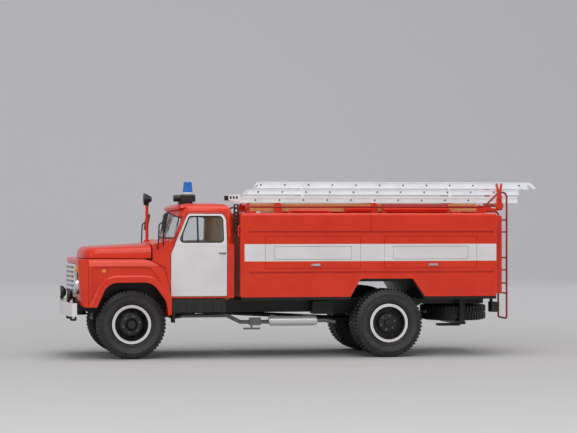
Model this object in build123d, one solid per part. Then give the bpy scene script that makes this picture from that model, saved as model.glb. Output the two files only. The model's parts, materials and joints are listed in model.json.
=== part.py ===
from build123d import *
import os
from math import cos, pi, sin

# Fire engine scale model. Millimetres, +X forward, +Y left, +Z up, ground at Z = 0.
# Pieces are drawn with the front axle at X = 0 and moved to the middle of the model on export.

# Stance
WHEELBASE = 86.05
FRONT_OVERHANG = 21.9
REAR_OVERHANG = 37.15
LADDER_OVERHANG = 20.2
FRONT_Y = 18.95
CAB_HALF = 24.0
REAR_Y = 19.65
TWIN_HALF = 3.25
REAR_X = -WHEELBASE
BODY_REAR = REAR_X - REAR_OVERHANG
LADDER_TIP = BODY_REAR - LADDER_OVERHANG
SHIFT = Pos(-(FRONT_OVERHANG + LADDER_TIP) / 2, 0, 0)

# Wheels
TYRE_R = 11.5
TYRE_HALF = 2.8
TREAD_HALF = 2.3
SHOULDER_DROP = 1.3
LUG_COUNT = 20
LUG_DEPTH = 0.6
LUG_SHARE = 0.56
BEAD_R = 6.55
BEAD_HALF = 1.9
BEAD_CHAMFER = 0.8
RIM_GAP = 0.1
RIM_R = BEAD_R - RIM_GAP
RIM_WALL = 1.1
RIM_BORE = RIM_R - RIM_WALL
RING_T = 0.45
PIN_R = 0.8
RUNNING_GAP = 0.05
BORE_R = PIN_R + RUNNING_GAP
VENT_COUNT = 6
VENT_RADIUS = 4.2
VENT_LENGTH = 2.1
VENT_WIDTH = 1.0

# Chassis
RAIL_TOP = 19.4
RAIL_BOTTOM = 14.8
RAIL_TAIL = 17.3
RAIL_OUT = 9.2
RAIL_WIDTH = 1.2
RAIL_FLANGE = 0.6
RAIL_WEB = 0.5
RAIL_IN = RAIL_OUT - RAIL_WIDTH
RAIL_FRONT = 17.0
RAIL_REAR = BODY_REAR + 0.2
SCREW_X = (15.0, REAR_X - 11.45)
SCREW_R = 0.8
SCREW_DEPTH = 4.0
BOSS_R = 1.7
BOSS_BOTTOM = 14.0
BEAM_HALF = 0.9
BEAM_DEPTH = 1.6
BEAM_DROP = 0.7
KNUCKLE_Y = 14.6
KNUCKLE_R = 1.3
AXLE_TUBE_R = 1.55
DRUM_R = 4.2
DRUM_Y = 12.3
DRUM_T = 1.3
DIFF_R = 3.4
LEAF_T = 0.42
EYE_R = 0.55
ENGINE_FRONT = 11.5
ENGINE_REAR = -6.4
ENGINE_HALF = 5.0
ENGINE_TOP = 26.0
ENGINE_BOTTOM = TYRE_R + 1.1
GEARBOX_REAR = -23.5
GEARBOX_HALF = 2.8
PROPSHAFT_R = 0.75

# Wings and front mask
WING_OUT = CAB_HALF + 1.6
WING_WALL = 1.0
WING_IN = WING_OUT - 11.1
ARCH_CLEAR = 0.3
ARCH_TOP = 2 * TYRE_R + 2.5
WING_TOP = ARCH_TOP + 7.6
WING_REAR = -(TYRE_R + 1.2)
WING_FOOT = 14.8
WING_ROUND = 2.6
DISH_DEPTH = 0.45
LIP_WIDTH = 2.3
LIP_BEVEL = 0.5
LIP_PROUD = 0.6
MASK_SPLIT = 14.5
SHUT_GAP = 0.1
MASK_FOOT = 17.4
MASK_FRONT = 18.5
MASK_BOW = 1.0
MASK_RAKE = 4.0
MASK_CORNER = 3.0
MASK_HALF = WING_OUT - 3.0
MASK_BEND = 4.4
GRILLE_HALF = MASK_HALF - 6.4
GRILLE_Z = (21.4, 31.6)
GRILLE_BAR = 0.8
GRILLE_SLOTS = 6
GRILLE_FRONT = 19.7
GRILLE_BOW = 1.2
GRILLE_FRAME = 1.0
GRILLE_GAP = 0.15
GRILLE_T = 0.8
SHROUD_X = 16.0
SHROUD_T = 0.8
LAMP_Y = MASK_HALF - 3.0
LAMP_FRONT = 18.4
LAMP_Z = 25.0
LAMP_R = 2.5
TURN_Z = 29.9
TURN_R = 1.35
FOG_Y = GRILLE_HALF - 1.2
FOG_X = 18.95
FOG_Z = 21.2
FOG_R = 2.15
REPEATER_R = 0.6
BUMPER_HALF = WING_OUT - 0.4
BUMPER_Z = (14.4, 18.8)
BUMPER_T = 0.8
BUMPER_LIP = 0.7
BUMPER_SWEEP = 1.9
BUMPER_REACH = 3.6
BUMPER_CORNER = 1.2

# Cab
CAB_REAR = -33.8
CAB_WALL = 0.9
CAB_BOTTOM = RAIL_TOP + 0.8
BELT = WING_TOP + 4.9
GREENHOUSE = 13.8
CAB_TOP = BELT + GREENHOUSE
COWL_FRONT = -6.8
COWL_TOP = BELT + 1.3
SCREEN_FOOT = -11.3
SCREEN_BACK = 3.6
SCREEN_BOW = 2.4
ROOF_TUCK = 3.4
ROOF_FOOT = 0.1
ROOF_ROUND = 3.6
ROOF_CROWN = 0.6
ROOF_SKIN = 0.02
ROOF_SLOPE = 3.4
BROW_REACH = 0.9
BROW_T = 0.8
DOOR_GAP = 0.2
DOOR_FRONT = WING_REAR + 0.1
DOOR_REAR = CAB_REAR + 2.2
DOOR_LOW = CAB_BOTTOM + 0.4
DOOR_TOP = CAB_TOP - 3.6
PANE_LOW = BELT + 0.9
PANE_TOP = CAB_TOP - 4.8
PANE_REAR = DOOR_REAR + 1.6
PANE_T = 0.4
PANE_SET = 0.3
PANE_GAP = 0.05
STEER_R = 3.9
BONNET_LOW = WING_TOP + 0.25
BONNET_WALL = 0.9
NOSE_X = 16.2
NOSE_BOW = 1.4

# Body
BODY_FRONT = -36.2
BODY_HALF = 26.4
BODY_BOTTOM = RAIL_TOP + 1.0
BODY_TOP = 48.3
BODY_WALL = 1.2
BODY_ROUND = 0.9
BODY_MID = (BODY_FRONT + BODY_REAR) / 2
FLOOR_T = 1.0
REAR_ARCH_TOP = 2 * TYRE_R + 3.4
STRIPE_Z = (32.3, 38.0)
STRIPE_T = 0.4
GROOVE_Z = (28.5, 42.0)
GROOVE_W = 0.7
GROOVE_DEPTH = 0.5
LOCKER_Z = (29.8, 40.7)
LOCKER_INSET = 3.1
LINE_W = 0.25
PUMP_DOOR_T = 3.8
PUMP_DOOR_HALF = 19.6
HANDLE_LENGTH = 3.4

# Roof load
LADDER_Z = BODY_TOP + 3.6
RUNG_PITCH = 8.3
RUNG_R = 0.4
STILE_T = 0.7
BAR_SIDES = 8
RAIL_Y = 19.0
RAIL_Z = BODY_TOP + 2.1
TUBE_R = 0.34
STEP_Y = 8.5
LADDER_BACK = BODY_REAR - 5.4
CRADLE_HALF = 1.3
CRADLE_Y = 14.2
CRADLE_T = 0.6
ROLLER_R = 0.7
FORK_X = BODY_REAR - 5.9
FORK_Y = 7.3
FORK_T = 0.8
SPACER_HALF = 0.35
POST_Y = 18.0
POST_WIDTH = 1.7
POST_LOW = BODY_TOP - 6.8
POST_T = 0.6
POST_HOLE_R = 0.45
POST_PITCH = 1.28
EXHAUST_Y = 17.5
SILENCER_R = 1.65
SILENCER_LENGTH = 15.4
SPARE_X = BODY_REAR + 8.7
SPARE_GAP = 0.35
SPARE_Z = RAIL_TAIL - TYRE_HALF - SPARE_GAP
BEACON_X = -21.4
SEAT_GAP = 0.1


# Outline helpers
def outline(rows):
    # A closed outline from rows of across, up and corner radius.
    points = [(a, b) for a, b, bend in rows]
    bends = [bend for a, b, bend in rows]
    if not any(bends):
        return make_face(Polyline(*points, close=True))
    return make_face(FilletPolyline(*points, radius=bends, close=True))


def panel(a0, a1, b0, b1, bend=0):
    return outline([(a0, b0, bend), (a0, b1, bend), (a1, b1, bend), (a1, b0, bend)])


def side_prism(face, y0, y1):
    # An outline drawn as (X, Z), standing between two values of Y.
    plane = Plane((0, y0, 0), x_dir=(1, 0, 0), z_dir=(0, -1, 0))
    return extrude(plane * face, amount=y0 - y1)


def front_prism(face, x0, x1):
    # An outline drawn as (Y, Z), standing between two values of X.
    plane = Plane((x0, 0, 0), x_dir=(0, 1, 0), z_dir=(1, 0, 0))
    return extrude(plane * face, amount=x1 - x0)


def plan_prism(face, z0, z1):
    # An outline drawn as (X, Y), standing between two heights.
    return extrude(Pos(0, 0, z0) * face, amount=z1 - z0)


def block(x0, x1, y0, y1, z0, z1):
    size = Box(abs(x1 - x0), abs(y1 - y0), abs(z1 - z0))
    return Pos((x0 + x1) / 2, (y0 + y1) / 2, (z0 + z1) / 2) * size


def bar(a, b, r):
    # A thin bar from one point to another.
    path = Line(a, b)
    return sweep(Plane(a, z_dir=path % 0) * RegularPolygon(r, BAR_SIDES), path=path)


def pin(a, b, r):
    # A round pin that something turns on.
    path = Line(a, b)
    return sweep(Plane(a, z_dir=path % 0) * Circle(r), path=path)


def pipe(points, r, bend):
    # A thin bar bent along a run of points.
    path = FilletPolyline(*points, radius=bend)
    return sweep(Plane(points[0], z_dir=path % 0) * RegularPolygon(r, BAR_SIDES), path=path)


def drum(x, y, z, r, length):
    # A cylinder lying along X.
    return Pos(x, y, z) * Rot(0, 90, 0) * Cylinder(r, length)


def both(shape):
    # A piece and its mirror image on the other side.
    return [shape, mirror(shape, about=Plane.XZ)]


# Wheels
def faceted(r, z):
    return Pos(0, 0, z) * RegularPolygon(r, LUG_COUNT)


def tread_outline():
    # Lugs and the gaps between them, as a ring of straight edges.
    root = TYRE_R - LUG_DEPTH
    pitch = 2 * pi / LUG_COUNT
    tip_half = pitch * LUG_SHARE / 2
    foot_half = tip_half * 1.12
    points = []
    for lug in range(LUG_COUNT):
        middle = lug * pitch
        for turn, r in ((-foot_half, root), (-tip_half, TYRE_R), (tip_half, TYRE_R), (foot_half, root)):
            points.append((r * cos(middle + turn), r * sin(middle + turn)))
    return make_face(Polyline(*points, close=True))


def tyre():
    shoulder = TYRE_R - SHOULDER_DROP
    root = TYRE_R - LUG_DEPTH - 0.1
    solid = plan_prism(tread_outline(), -TREAD_HALF, TREAD_HALF)
    bead = BEAD_R / cos(pi / LUG_COUNT)
    for side in (-1, 1):
        solid += loft([faceted(root, side * TREAD_HALF), faceted(shoulder, side * TYRE_HALF)], ruled=True)
    solid -= plan_prism(faceted(bead, 0), -TYRE_HALF, TYRE_HALF)
    for side in (-1, 1):
        mouth = [faceted(bead, side * BEAD_HALF), faceted(bead + BEAD_CHAMFER, side * TYRE_HALF)]
        solid -= loft(mouth, ruled=True)
    return Rot(90, 0, 0) * solid


def turned(rows):
    # A wheel piece turned about the axle: rows of radius and place along it.
    return revolve(outline([(r, y, 0) for r, y in rows]), Axis.Y)


def ring(y0):
    return turned([(RIM_BORE, y0), (RIM_R, y0), (RIM_R, y0 + RING_T), (RIM_BORE, y0 + RING_T)])


FRONT_FACE = 1.95
REAR_FACE = 5.2


def front_rim():
    rim = turned([
        (0, 2.7), (1.3, 2.7), (2.1, 1.5), (3.4, 1.4), (4.6, 0.7), (RIM_BORE, 0.5), (RIM_BORE, FRONT_FACE),
        (RIM_R, FRONT_FACE), (RIM_R, -2.2), (RIM_BORE, -2.2), (RIM_BORE, -0.5), (3.3, 0.4), (2.0, 0.4),
        (2.0, -2.3), (BORE_R, -2.3), (BORE_R, 1.6), (0, 1.6),
    ])
    half, reach = VENT_WIDTH / 2, VENT_LENGTH / 2
    corner = half * 0.6
    slot = make_face(Polyline(
        (-reach, corner - half), (corner - reach, -half), (reach - corner, -half), (reach, corner - half),
        (reach, half - corner), (reach - corner, half), (corner - reach, half),
        (-reach, half - corner), close=True,
    ))
    cut = extrude(Rot(90, 0, 0) * slot, amount=TYRE_HALF, both=True)
    for turn in range(VENT_COUNT):
        rim -= Rot(0, 360 / VENT_COUNT * turn, 0) * Pos(0, 0, VENT_RADIUS) * cut
    return rim


def rear_rim():
    return turned([
        (0, 4.4), (1.1, 4.4), (1.3, 3.6), (3.1, 3.4), (3.2, 1.2), (RIM_BORE, 1.2), (RIM_BORE, REAR_FACE),
        (RIM_R, REAR_FACE), (RIM_R, -REAR_FACE), (RIM_BORE, -REAR_FACE), (RIM_BORE, -1.2), (2.6, -1.2),
        (2.0, -REAR_FACE), (BORE_R, -REAR_FACE), (BORE_R, 3.8), (0, 3.8),
    ])


# Chassis
def rail():
    face = outline([
        (RAIL_FRONT, RAIL_TOP, 0), (RAIL_FRONT, RAIL_BOTTOM + 1.6, 0), (RAIL_FRONT - 5, RAIL_BOTTOM, 0),
        (REAR_X - 10, RAIL_BOTTOM, 0), (REAR_X - 15, RAIL_TAIL, 0), (RAIL_REAR, RAIL_TAIL, 0),
        (RAIL_REAR, RAIL_TOP, 0),
    ])
    pocket = offset(face, -RAIL_FLANGE, kind=Kind.INTERSECTION)
    return side_prism(face, RAIL_IN, RAIL_OUT) - side_prism(pocket, RAIL_IN, RAIL_OUT - RAIL_WEB)


def chassis_frame():
    # Cross members: place along X, width, bottom and top.
    members = [
        (SCREW_X[0], 3.0, 17.0, 19.2), (-26.0, 2.4, 16.4, 18.8), (REAR_X + 36.0, 2.4, 16.4, 18.8),
        (REAR_X + 14.0, 2.4, 16.4, 18.8), (SCREW_X[1], 3.4, 17.0, 18.8), (RAIL_REAR + 2.0, 2.0, 17.6, 18.8),
    ]
    frame = rail() + mirror(rail(), about=Plane.XZ)
    reach = RAIL_OUT - 0.3
    for x, width, low, high in members:
        frame += block(x - width / 2, x + width / 2, -reach, reach, low, high)
    bumper_back = FRONT_OVERHANG - 2 * BUMPER_T - 0.3
    horn = panel(RAIL_FRONT - 1.0, bumper_back, BUMPER_Z[0] + 1.2, BUMPER_Z[1] - 1.0)
    hook_x, hook_z = RAIL_FRONT + 1.25, BUMPER_Z[0] + 1.3
    hook = panel(hook_x - 1.1, hook_x + 1.1, hook_z - 3.4, hook_z, 0.5)
    eye = panel(hook_x - 0.4, hook_x + 0.4, hook_z - 2.7, hook_z - 1.5)
    box = panel(REAR_X + 17.0, REAR_X + 24.0, RAIL_BOTTOM - 0.6, RAIL_TOP - 0.8, 0.5)
    for side in (-1, 1):
        frame += side_prism(horn, side * (RAIL_IN + 0.2), side * RAIL_OUT)
        frame += side_prism(hook, side * (RAIL_IN + 0.4), side * (RAIL_OUT - 0.2))
        frame -= side_prism(eye, side * RAIL_IN, side * RAIL_OUT)
        frame += side_prism(box, side * (RAIL_OUT - 0.1), side * (RAIL_OUT + 5.0))
    for x in SCREW_X:
        frame += Pos(x, 0, BOSS_BOTTOM + 1.6) * Cylinder(BOSS_R, 3.2)
    for x in SCREW_X:
        frame -= Pos(x, 0, BOSS_BOTTOM + SCREW_DEPTH / 2) * Cylinder(SCREW_R, SCREW_DEPTH)
    return frame


def leaf_spring(x, y0, y1, half, eye_z, seat_z, leaves):
    # Leaves shorten by one step each, stacked below the main leaf down to the seat on the axle.
    pack = None
    mid_z = seat_z + leaves * LEAF_T
    for i in range(leaves):
        reach = half * (1 - i / (leaves + 0.6))
        lift = (eye_z - mid_z) * (reach / half) ** 2
        z = mid_z - i * LEAF_T
        top = ThreePointArc((x - reach, z + lift), (x, z), (x + reach, z + lift))
        low = z - LEAF_T
        under = ThreePointArc((x + reach, low + lift), (x, low), (x - reach, low + lift))
        ends = [Line(top @ 1, under @ 0), Line(under @ 1, top @ 0)]
        leaf = side_prism(make_face([top, ends[0], under, ends[1]]), y0, y1)
        pack = leaf if pack is None else pack + leaf
    for end in (-1, 1):
        a = (x + end * half, y0, eye_z - LEAF_T / 2)
        pack += bar(a, (a[0], y1, a[2]), EYE_R)
    return pack


def front_axle():
    low = TYRE_R - BEAM_DROP - BEAM_DEPTH
    half_beam = [
        (0, low, 0), (KNUCKLE_Y - 3.8, low, 0), (KNUCKLE_Y - 1.2, TYRE_R - 1.1, 0),
        (KNUCKLE_Y + 0.6, TYRE_R - 1.1, 0),
        (KNUCKLE_Y + 0.6, TYRE_R + 1.1, 0), (KNUCKLE_Y - 1.4, TYRE_R + 1.1, 0),
        (KNUCKLE_Y - 4.1, TYRE_R - BEAM_DROP, 0),
        (0, TYRE_R - BEAM_DROP, 0),
    ]
    beam = front_prism(outline(half_beam), -BEAM_HALF, BEAM_HALF)
    axle = beam + mirror(beam, about=Plane.XZ)
    rod_x, rod_z = -2.6, TYRE_R - 1.3
    axle += bar((rod_x, -KNUCKLE_Y, rod_z), (rod_x, KNUCKLE_Y, rod_z), 0.4)
    for side in (-1, 1):
        axle += Pos(0, side * KNUCKLE_Y, TYRE_R) * Cylinder(KNUCKLE_R, 3.6)
        axle += pin((0, side * KNUCKLE_Y, TYRE_R), (0, side * (FRONT_Y + 1.4), TYRE_R), PIN_R)
        arm_in, arm_out = side * (KNUCKLE_Y - 0.7), side * (KNUCKLE_Y + 0.3)
        axle += block(rod_x - 0.3, 0, arm_in, arm_out, rod_z - 0.4, rod_z + 0.4)
    return axle


def rear_axle():
    at = Pos(REAR_X, 0, TYRE_R)
    half_turned = [
        (0, 0), (DIFF_R, 0), (DIFF_R * 0.8, 2.2), (AXLE_TUBE_R, 3.6), (AXLE_TUBE_R, DRUM_Y - DRUM_T / 2),
        (DRUM_R, DRUM_Y - DRUM_T / 2), (DRUM_R, DRUM_Y + DRUM_T / 2), (0, DRUM_Y + DRUM_T / 2),
    ]
    half = at * turned(half_turned)
    axle = half + mirror(half, about=Plane.XZ)
    axle += at * Pos(3.4, 0, 0.3) * Rot(0, 90, 0) * Cone(2.2, 1.3, 4.0)
    for side in (-1, 1):
        axle += pin((REAR_X, side * DRUM_Y, TYRE_R), (REAR_X, side * (REAR_Y + 3.6), TYRE_R), PIN_R)
    return axle


def drive_line():
    # Engine, gearbox and radiator as plain blocks, with the propeller shaft and aprons.
    line = block(ENGINE_FRONT, ENGINE_REAR, -ENGINE_HALF, ENGINE_HALF, ENGINE_BOTTOM, ENGINE_TOP)
    box_low, box_high = ENGINE_BOTTOM + 0.4, RAIL_TOP - 0.8
    line += block(ENGINE_REAR, GEARBOX_REAR, -GEARBOX_HALF, GEARBOX_HALF, box_low, box_high)
    line += bar((GEARBOX_REAR + 0.5, 0, RAIL_BOTTOM + 0.2), (REAR_X + 5.8, 0, TYRE_R + 0.35), PROPSHAFT_R)
    shroud_half = MASK_HALF - GRILLE_GAP
    core_half = WING_IN - 1.5
    low, high = GRILLE_Z[0] + GRILLE_GAP, GRILLE_Z[1] - GRILLE_GAP
    line += block(ENGINE_FRONT, SHROUD_X - SHROUD_T, -core_half, core_half, ENGINE_TOP - 5.0, high)
    face = panel(-shroud_half, shroud_half, low, high, MASK_BEND - GRILLE_GAP)
    line += front_prism(face, SHROUD_X - SHROUD_T, SHROUD_X)
    # Inner aprons that close the engine bay beside the front wheels.
    bay_front, bay_low, bay_high = MASK_SPLIT - 0.3, RAIL_TOP + 0.4, WING_TOP - 0.7
    apron = outline([
        (bay_front, bay_low, 0), (WING_REAR + 0.3, bay_low, 0), (WING_REAR + 2.1, WING_TOP - 3.5, 0),
        (COWL_FRONT + 0.6, bay_high, 0), (bay_front, bay_high, 0),
    ])
    for side in (-1, 1):
        line += side_prism(apron, side * (core_half - 0.1), side * (core_half + 0.6))
    return line


# Exhaust
EXHAUST_HEAD = -17.4
EXHAUST_TAIL = REAR_X + 16.85


def along_exhaust(share):
    return EXHAUST_HEAD + (EXHAUST_TAIL - EXHAUST_HEAD) * share


def exhaust():
    high, low = RAIL_BOTTOM - 0.65, RAIL_BOTTOM - 2.9
    drum_x = along_exhaust(0.718)
    drum_front = drum_x + SILENCER_LENGTH / 2
    drum_rear = drum_x - SILENCER_LENGTH / 2
    valve = along_exhaust(0.47)
    line = pipe([
        (-14.4, 3.0, high - 0.6), (-14.4, EXHAUST_Y - 2.7, high - 0.6), (EXHAUST_HEAD, EXHAUST_Y, high),
        (along_exhaust(0.286), EXHAUST_Y, high), (along_exhaust(0.375), EXHAUST_Y, low),
        (drum_front - 0.5, EXHAUST_Y, low),
    ], 0.65, 1.8)
    line += block(valve - 1.9, valve + 1.9, EXHAUST_Y - 1.1, EXHAUST_Y + 1.1, low - 1.1, low + 1.4)
    line += block(valve - 1.8, valve + 4.0, EXHAUST_Y + 0.3, EXHAUST_Y + 0.7, low - 2.5, low - 1.9)
    line += block(valve + 0.9, valve + 1.5, EXHAUST_Y + 0.3, EXHAUST_Y + 0.7, low - 2.5, low - 1.1)
    line += drum(drum_x, EXHAUST_Y, low + 0.3, SILENCER_R, SILENCER_LENGTH)
    for x in (drum_front, drum_rear):
        line += drum(x, EXHAUST_Y, low + 0.3, SILENCER_R * 0.75, 1.0)
    line += pipe([
        (drum_rear + 0.5, EXHAUST_Y, low + 0.3), (drum_rear - 4.0, EXHAUST_Y, low + 0.3),
        (EXHAUST_TAIL, EXHAUST_Y, low - 0.3),
    ], 0.6, 2.0)
    for x in (drum_front - 2.0, drum_rear + 2.0):
        line += block(x - 0.4, x + 0.4, RAIL_OUT, EXHAUST_Y, low + 1.4, low + 2.0)
    return line


# Cab
def cab_plan(front, half, inset):
    # The cab seen from above: bowed windscreen, round corners.
    rear = CAB_REAR + inset
    nose = front - inset
    half = half - inset
    return outline([
        (rear, -half, 3.0), (nose - SCREEN_BOW, -half, 4.0), (nose, 0, 80.0),
        (nose - SCREEN_BOW, half, 4.0),
        (rear, half, 3.0),
    ])


def cab_lower(inset):
    toe = WING_REAR - 0.25
    side = outline([
        (CAB_REAR + inset, CAB_BOTTOM - inset, 0), (CAB_REAR + inset, BELT, 0),
        (SCREEN_FOOT - 2.2, BELT, 0),
        (SCREEN_FOOT - 0.6, COWL_TOP - inset, 0), (COWL_FRONT - inset, BELT - inset, 0),
        (COWL_FRONT - inset, WING_TOP - 0.5 + inset, 0),
        (toe + 2.05 - inset, WING_TOP - 2.7 + inset / 2, 0),
        (toe - inset, CAB_BOTTOM - inset, 0),
    ])
    half = CAB_HALF - inset
    ends = outline([
        (-half + 0.5, CAB_BOTTOM - 2, 0), (-half, BELT - 3, 4), (-half + 0.2, COWL_TOP + 1, 0),
        (half - 0.2, COWL_TOP + 1, 0), (half, BELT - 3, 4), (half - 0.5, CAB_BOTTOM - 2, 0),
    ])
    shape = side_prism(side, -2 * CAB_HALF, 2 * CAB_HALF)
    return shape & front_prism(ends, CAB_REAR - 1, COWL_FRONT + 1)


def roof_side(inset):
    # The roof seen from the left: round at the back, sloping to the brow in front.
    top = CAB_TOP - inset
    return outline([
        (CAB_REAR + inset, BELT, 0), (CAB_REAR + inset, top, 5.0 - inset), (SCREEN_FOOT - 8.7, top, 14.0),
        (SCREEN_FOOT + 2.3, top - ROOF_SLOPE, 0), (SCREEN_FOOT + 2.3, BELT, 0),
    ])


def roof_end(inset):
    # The roof seen from the front: the lean of the walls, round shoulders and a low crown.
    top = CAB_TOP - inset
    edge, bend = top - ROOF_CROWN, ROOF_ROUND - inset
    lean = (ROOF_TUCK - ROOF_FOOT) / GREENHOUSE
    foot = CAB_HALF - ROOF_FOOT - inset + ROOF_SKIN
    head = foot - lean * (edge - BELT)
    return outline([
        (-foot, BELT, 0), (-head, edge, bend), (0, top, 60.0), (head, edge, bend), (foot, BELT, 0),
    ])


def roof_walls(inset):
    foot = Pos(0, 0, BELT) * cab_plan(SCREEN_FOOT, CAB_HALF - ROOF_FOOT, inset)
    head = Pos(0, 0, CAB_TOP) * cab_plan(SCREEN_FOOT - SCREEN_BACK, CAB_HALF - ROOF_TUCK, inset)
    return loft([foot, head], ruled=True)


def cab_upper(inset):
    roof = side_prism(roof_side(inset), -2 * CAB_HALF, 2 * CAB_HALF)
    return roof_walls(inset) & roof & front_prism(roof_end(inset), CAB_REAR - 1, COWL_FRONT)


def brow():
    # The lip of the roof that shades the windscreen.
    cap = side_prism(roof_side(0), -CAB_HALF, CAB_HALF)
    lip = cap - Pos(0, 0, -BROW_T) * cap
    lip = lip & roof_walls(-BROW_REACH) & front_prism(roof_end(0), SCREEN_FOOT - 6.5, COWL_FRONT)
    return lip


def cab_solid(inset):
    return cab_lower(inset) + cab_upper(inset)


# Door and window outlines seen from the side: X, Z, corner radius.
DOOR = [
    (DOOR_FRONT, DOOR_LOW, 0.6), (DOOR_FRONT, BELT - 3.1, 4.0), (SCREEN_FOOT - 7.3, DOOR_TOP, 1.8),
    (DOOR_REAR + 1.0, DOOR_TOP, 1.6), (DOOR_REAR, DOOR_TOP - 2.2, 2.0), (DOOR_REAR, DOOR_LOW, 0.6),
]
PANE = [
    (SCREEN_FOOT - 4.6, PANE_LOW, 0.8), (SCREEN_FOOT - 8.0, PANE_TOP, 0.9), (PANE_REAR, PANE_TOP, 1.2),
    (PANE_REAR, PANE_LOW, 0.9),
]
# Windscreen seen from the front: Y, Z, corner radius.
SCREEN_HALF = CAB_HALF - 5.0
SCREEN = [
    (-SCREEN_HALF, BELT + 2.2, 1.6), (-SCREEN_HALF + 0.8, CAB_TOP - 4.9, 2.0), (0, CAB_TOP - 3.2, 60.0),
    (SCREEN_HALF - 0.8, CAB_TOP - 4.9, 2.0), (SCREEN_HALF, BELT + 2.2, 1.6),
]


def cab_parts():
    outer = cab_solid(0)
    skin = outer - cab_solid(CAB_WALL)
    glass = cab_solid(PANE_SET) - cab_solid(PANE_SET + PANE_T)
    door_face, pane_face, screen_face = outline(DOOR), outline(PANE), outline(SCREEN)
    screen_depth = (SCREEN_FOOT - 8.2, COWL_FRONT + 2)
    inner_y, outer_y = CAB_HALF - 7, CAB_HALF + 6
    doors = []
    panes = []
    shell = skin
    for side in (1, -1):
        hole = side_prism(pane_face, side * inner_y, side * outer_y)
        leaf = skin & side_prism(offset(door_face, -DOOR_GAP), side * inner_y, side * outer_y)
        doors.append(leaf - hole)
        panes.append(glass & side_prism(offset(pane_face, -PANE_GAP), side * inner_y, side * outer_y))
        shell -= side_prism(door_face, side * inner_y, side * outer_y)
    shell -= front_prism(screen_face, *screen_depth)
    panes.append(glass & front_prism(offset(screen_face, -PANE_GAP), *screen_depth))
    return shell + brow(), doors, panes, outer


def cab_interior():
    # Floor pan, bench seat, rear trim, dashboard and heater pillar as one moulding.
    rear, front = CAB_REAR + 1.0, WING_REAR - 1.5
    pan = RAIL_TOP + 1.2
    seat_half = CAB_HALF - 5.0
    tub = block(rear, front, -seat_half + 0.6, seat_half - 0.6, RAIL_TOP, pan)
    tub += block(rear, front, -seat_half - 3.4, seat_half + 3.4, pan - 0.6, pan)
    squab = outline([
        (CAB_REAR + 1.4, pan, 0), (CAB_REAR + 1.4, BELT + 0.5, 0.6), (CAB_REAR + 3.2, BELT + 0.5, 0.6),
        (CAB_REAR + 4.2, pan + 8.4, 0.8), (CAB_REAR + 11.2, pan + 8.4, 0.8), (CAB_REAR + 11.2, pan, 0),
    ])
    tub += side_prism(squab, -seat_half, seat_half)
    trim_half = seat_half - 1.2
    tub += block(rear, CAB_REAR + 1.5, -trim_half, trim_half, pan, PANE_TOP + 0.1)
    dash = outline([
        (COWL_FRONT - 1.4, WING_TOP + 0.7, 0), (COWL_FRONT - 1.4, BELT - 1.0, 0),
        (COWL_FRONT - 6.4, BELT - 1.0, 0.8),
        (COWL_FRONT - 7.7, BELT - 2.6, 0.8), (COWL_FRONT - 7.7, WING_TOP + 0.7, 0),
    ])
    tub += side_prism(dash, -seat_half - 2.5, seat_half + 2.5)
    tub += block(front - 1.6, front, -4.0, 4.0, pan, BELT - 3)
    return tub


def steering_wheel():
    hoop = RegularPolygon(STEER_R + 0.3, LUG_COUNT) - RegularPolygon(STEER_R - 0.3, LUG_COUNT)
    rim = extrude(hoop, amount=0.3, both=True)
    rim += block(-0.4, 0.4, -STEER_R, STEER_R, -0.2, 0.2)
    at = (WING_REAR - 5.3, 11.0, BELT - 1.0)
    column = bar(at, (WING_REAR + 0.3, 11.0, BELT - 4.4), 0.45)
    return Pos(at) * Rot(0, -35, 0) * rim + column


# Bonnet and front end
def bonnet_solid(inset, open_by):
    rear, low = COWL_FRONT + 0.25 - open_by, BONNET_LOW - open_by
    side = outline([
        (rear, low, 0), (NOSE_X - 0.3 - inset, low, 0), (NOSE_X - inset, BONNET_LOW + 1.0, 0.8),
        (NOSE_X - 0.4 - inset, BELT - 0.7 - inset, 2.3 - inset), (rear, BELT + 0.6 - inset, 0),
    ])
    wide, narrow = CAB_HALF - 0.7 - inset, CAB_HALF - 7.4 - inset
    plan = outline([
        (COWL_FRONT - 13, -wide, 0), (NOSE_X - NOSE_BOW - inset, -narrow, 5.0),
        (NOSE_X + 0.3 - inset, 0, 80.0),
        (NOSE_X - NOSE_BOW - inset, narrow, 5.0), (COWL_FRONT - 13, wide, 0),
    ])
    half = CAB_HALF - 1.4 - inset
    crown = outline([
        (-half, BELT - 18, 0), (-half, BELT - 3 - inset, 2.8), (0, BELT - 0.1 - inset, 60),
        (half, BELT - 3 - inset, 2.8),
        (half, BELT - 18, 0),
    ])
    shape = side_prism(side, -CAB_HALF, CAB_HALF) & plan_prism(plan, BELT - 18, BELT + 7)
    return shape & (Rot(0, 3.6, 0) * front_prism(crown, CAB_REAR, -CAB_REAR))


def bonnet():
    return bonnet_solid(0, 0) - bonnet_solid(BONNET_WALL, 5)


# Wheel arch seen from the side: X, Z, corner radius.
ARCH_HALF = TYRE_R + ARCH_CLEAR
ARCH = [
    (ARCH_HALF, 8.0, 0), (ARCH_HALF, MASK_FOOT, 2.0), (ARCH_HALF - 3.6, ARCH_TOP, 5.0),
    (5.3 - ARCH_HALF, ARCH_TOP, 5.4), (0.8 - ARCH_HALF, ARCH_TOP - 6.3, 5.0),
    (-ARCH_HALF, WING_FOOT - 0.8, 0),
    (-ARCH_HALF, 8.0, 0),
]
# The sunk panel between the rolled edge of the wing and the arch: X, Z, corner radius.
DISH = [
    (MASK_SPLIT - 1.1, MASK_FOOT - 1.0, 0), (MASK_SPLIT - 1.1, WING_TOP - 2.4, 1.2),
    (WING_REAR + 7.0, WING_TOP - 2.4, 4.0), (WING_REAR + 2.8, WING_TOP - 8.4, 2.5),
    (WING_REAR + 2.2, MASK_FOOT, 0),
]


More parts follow.
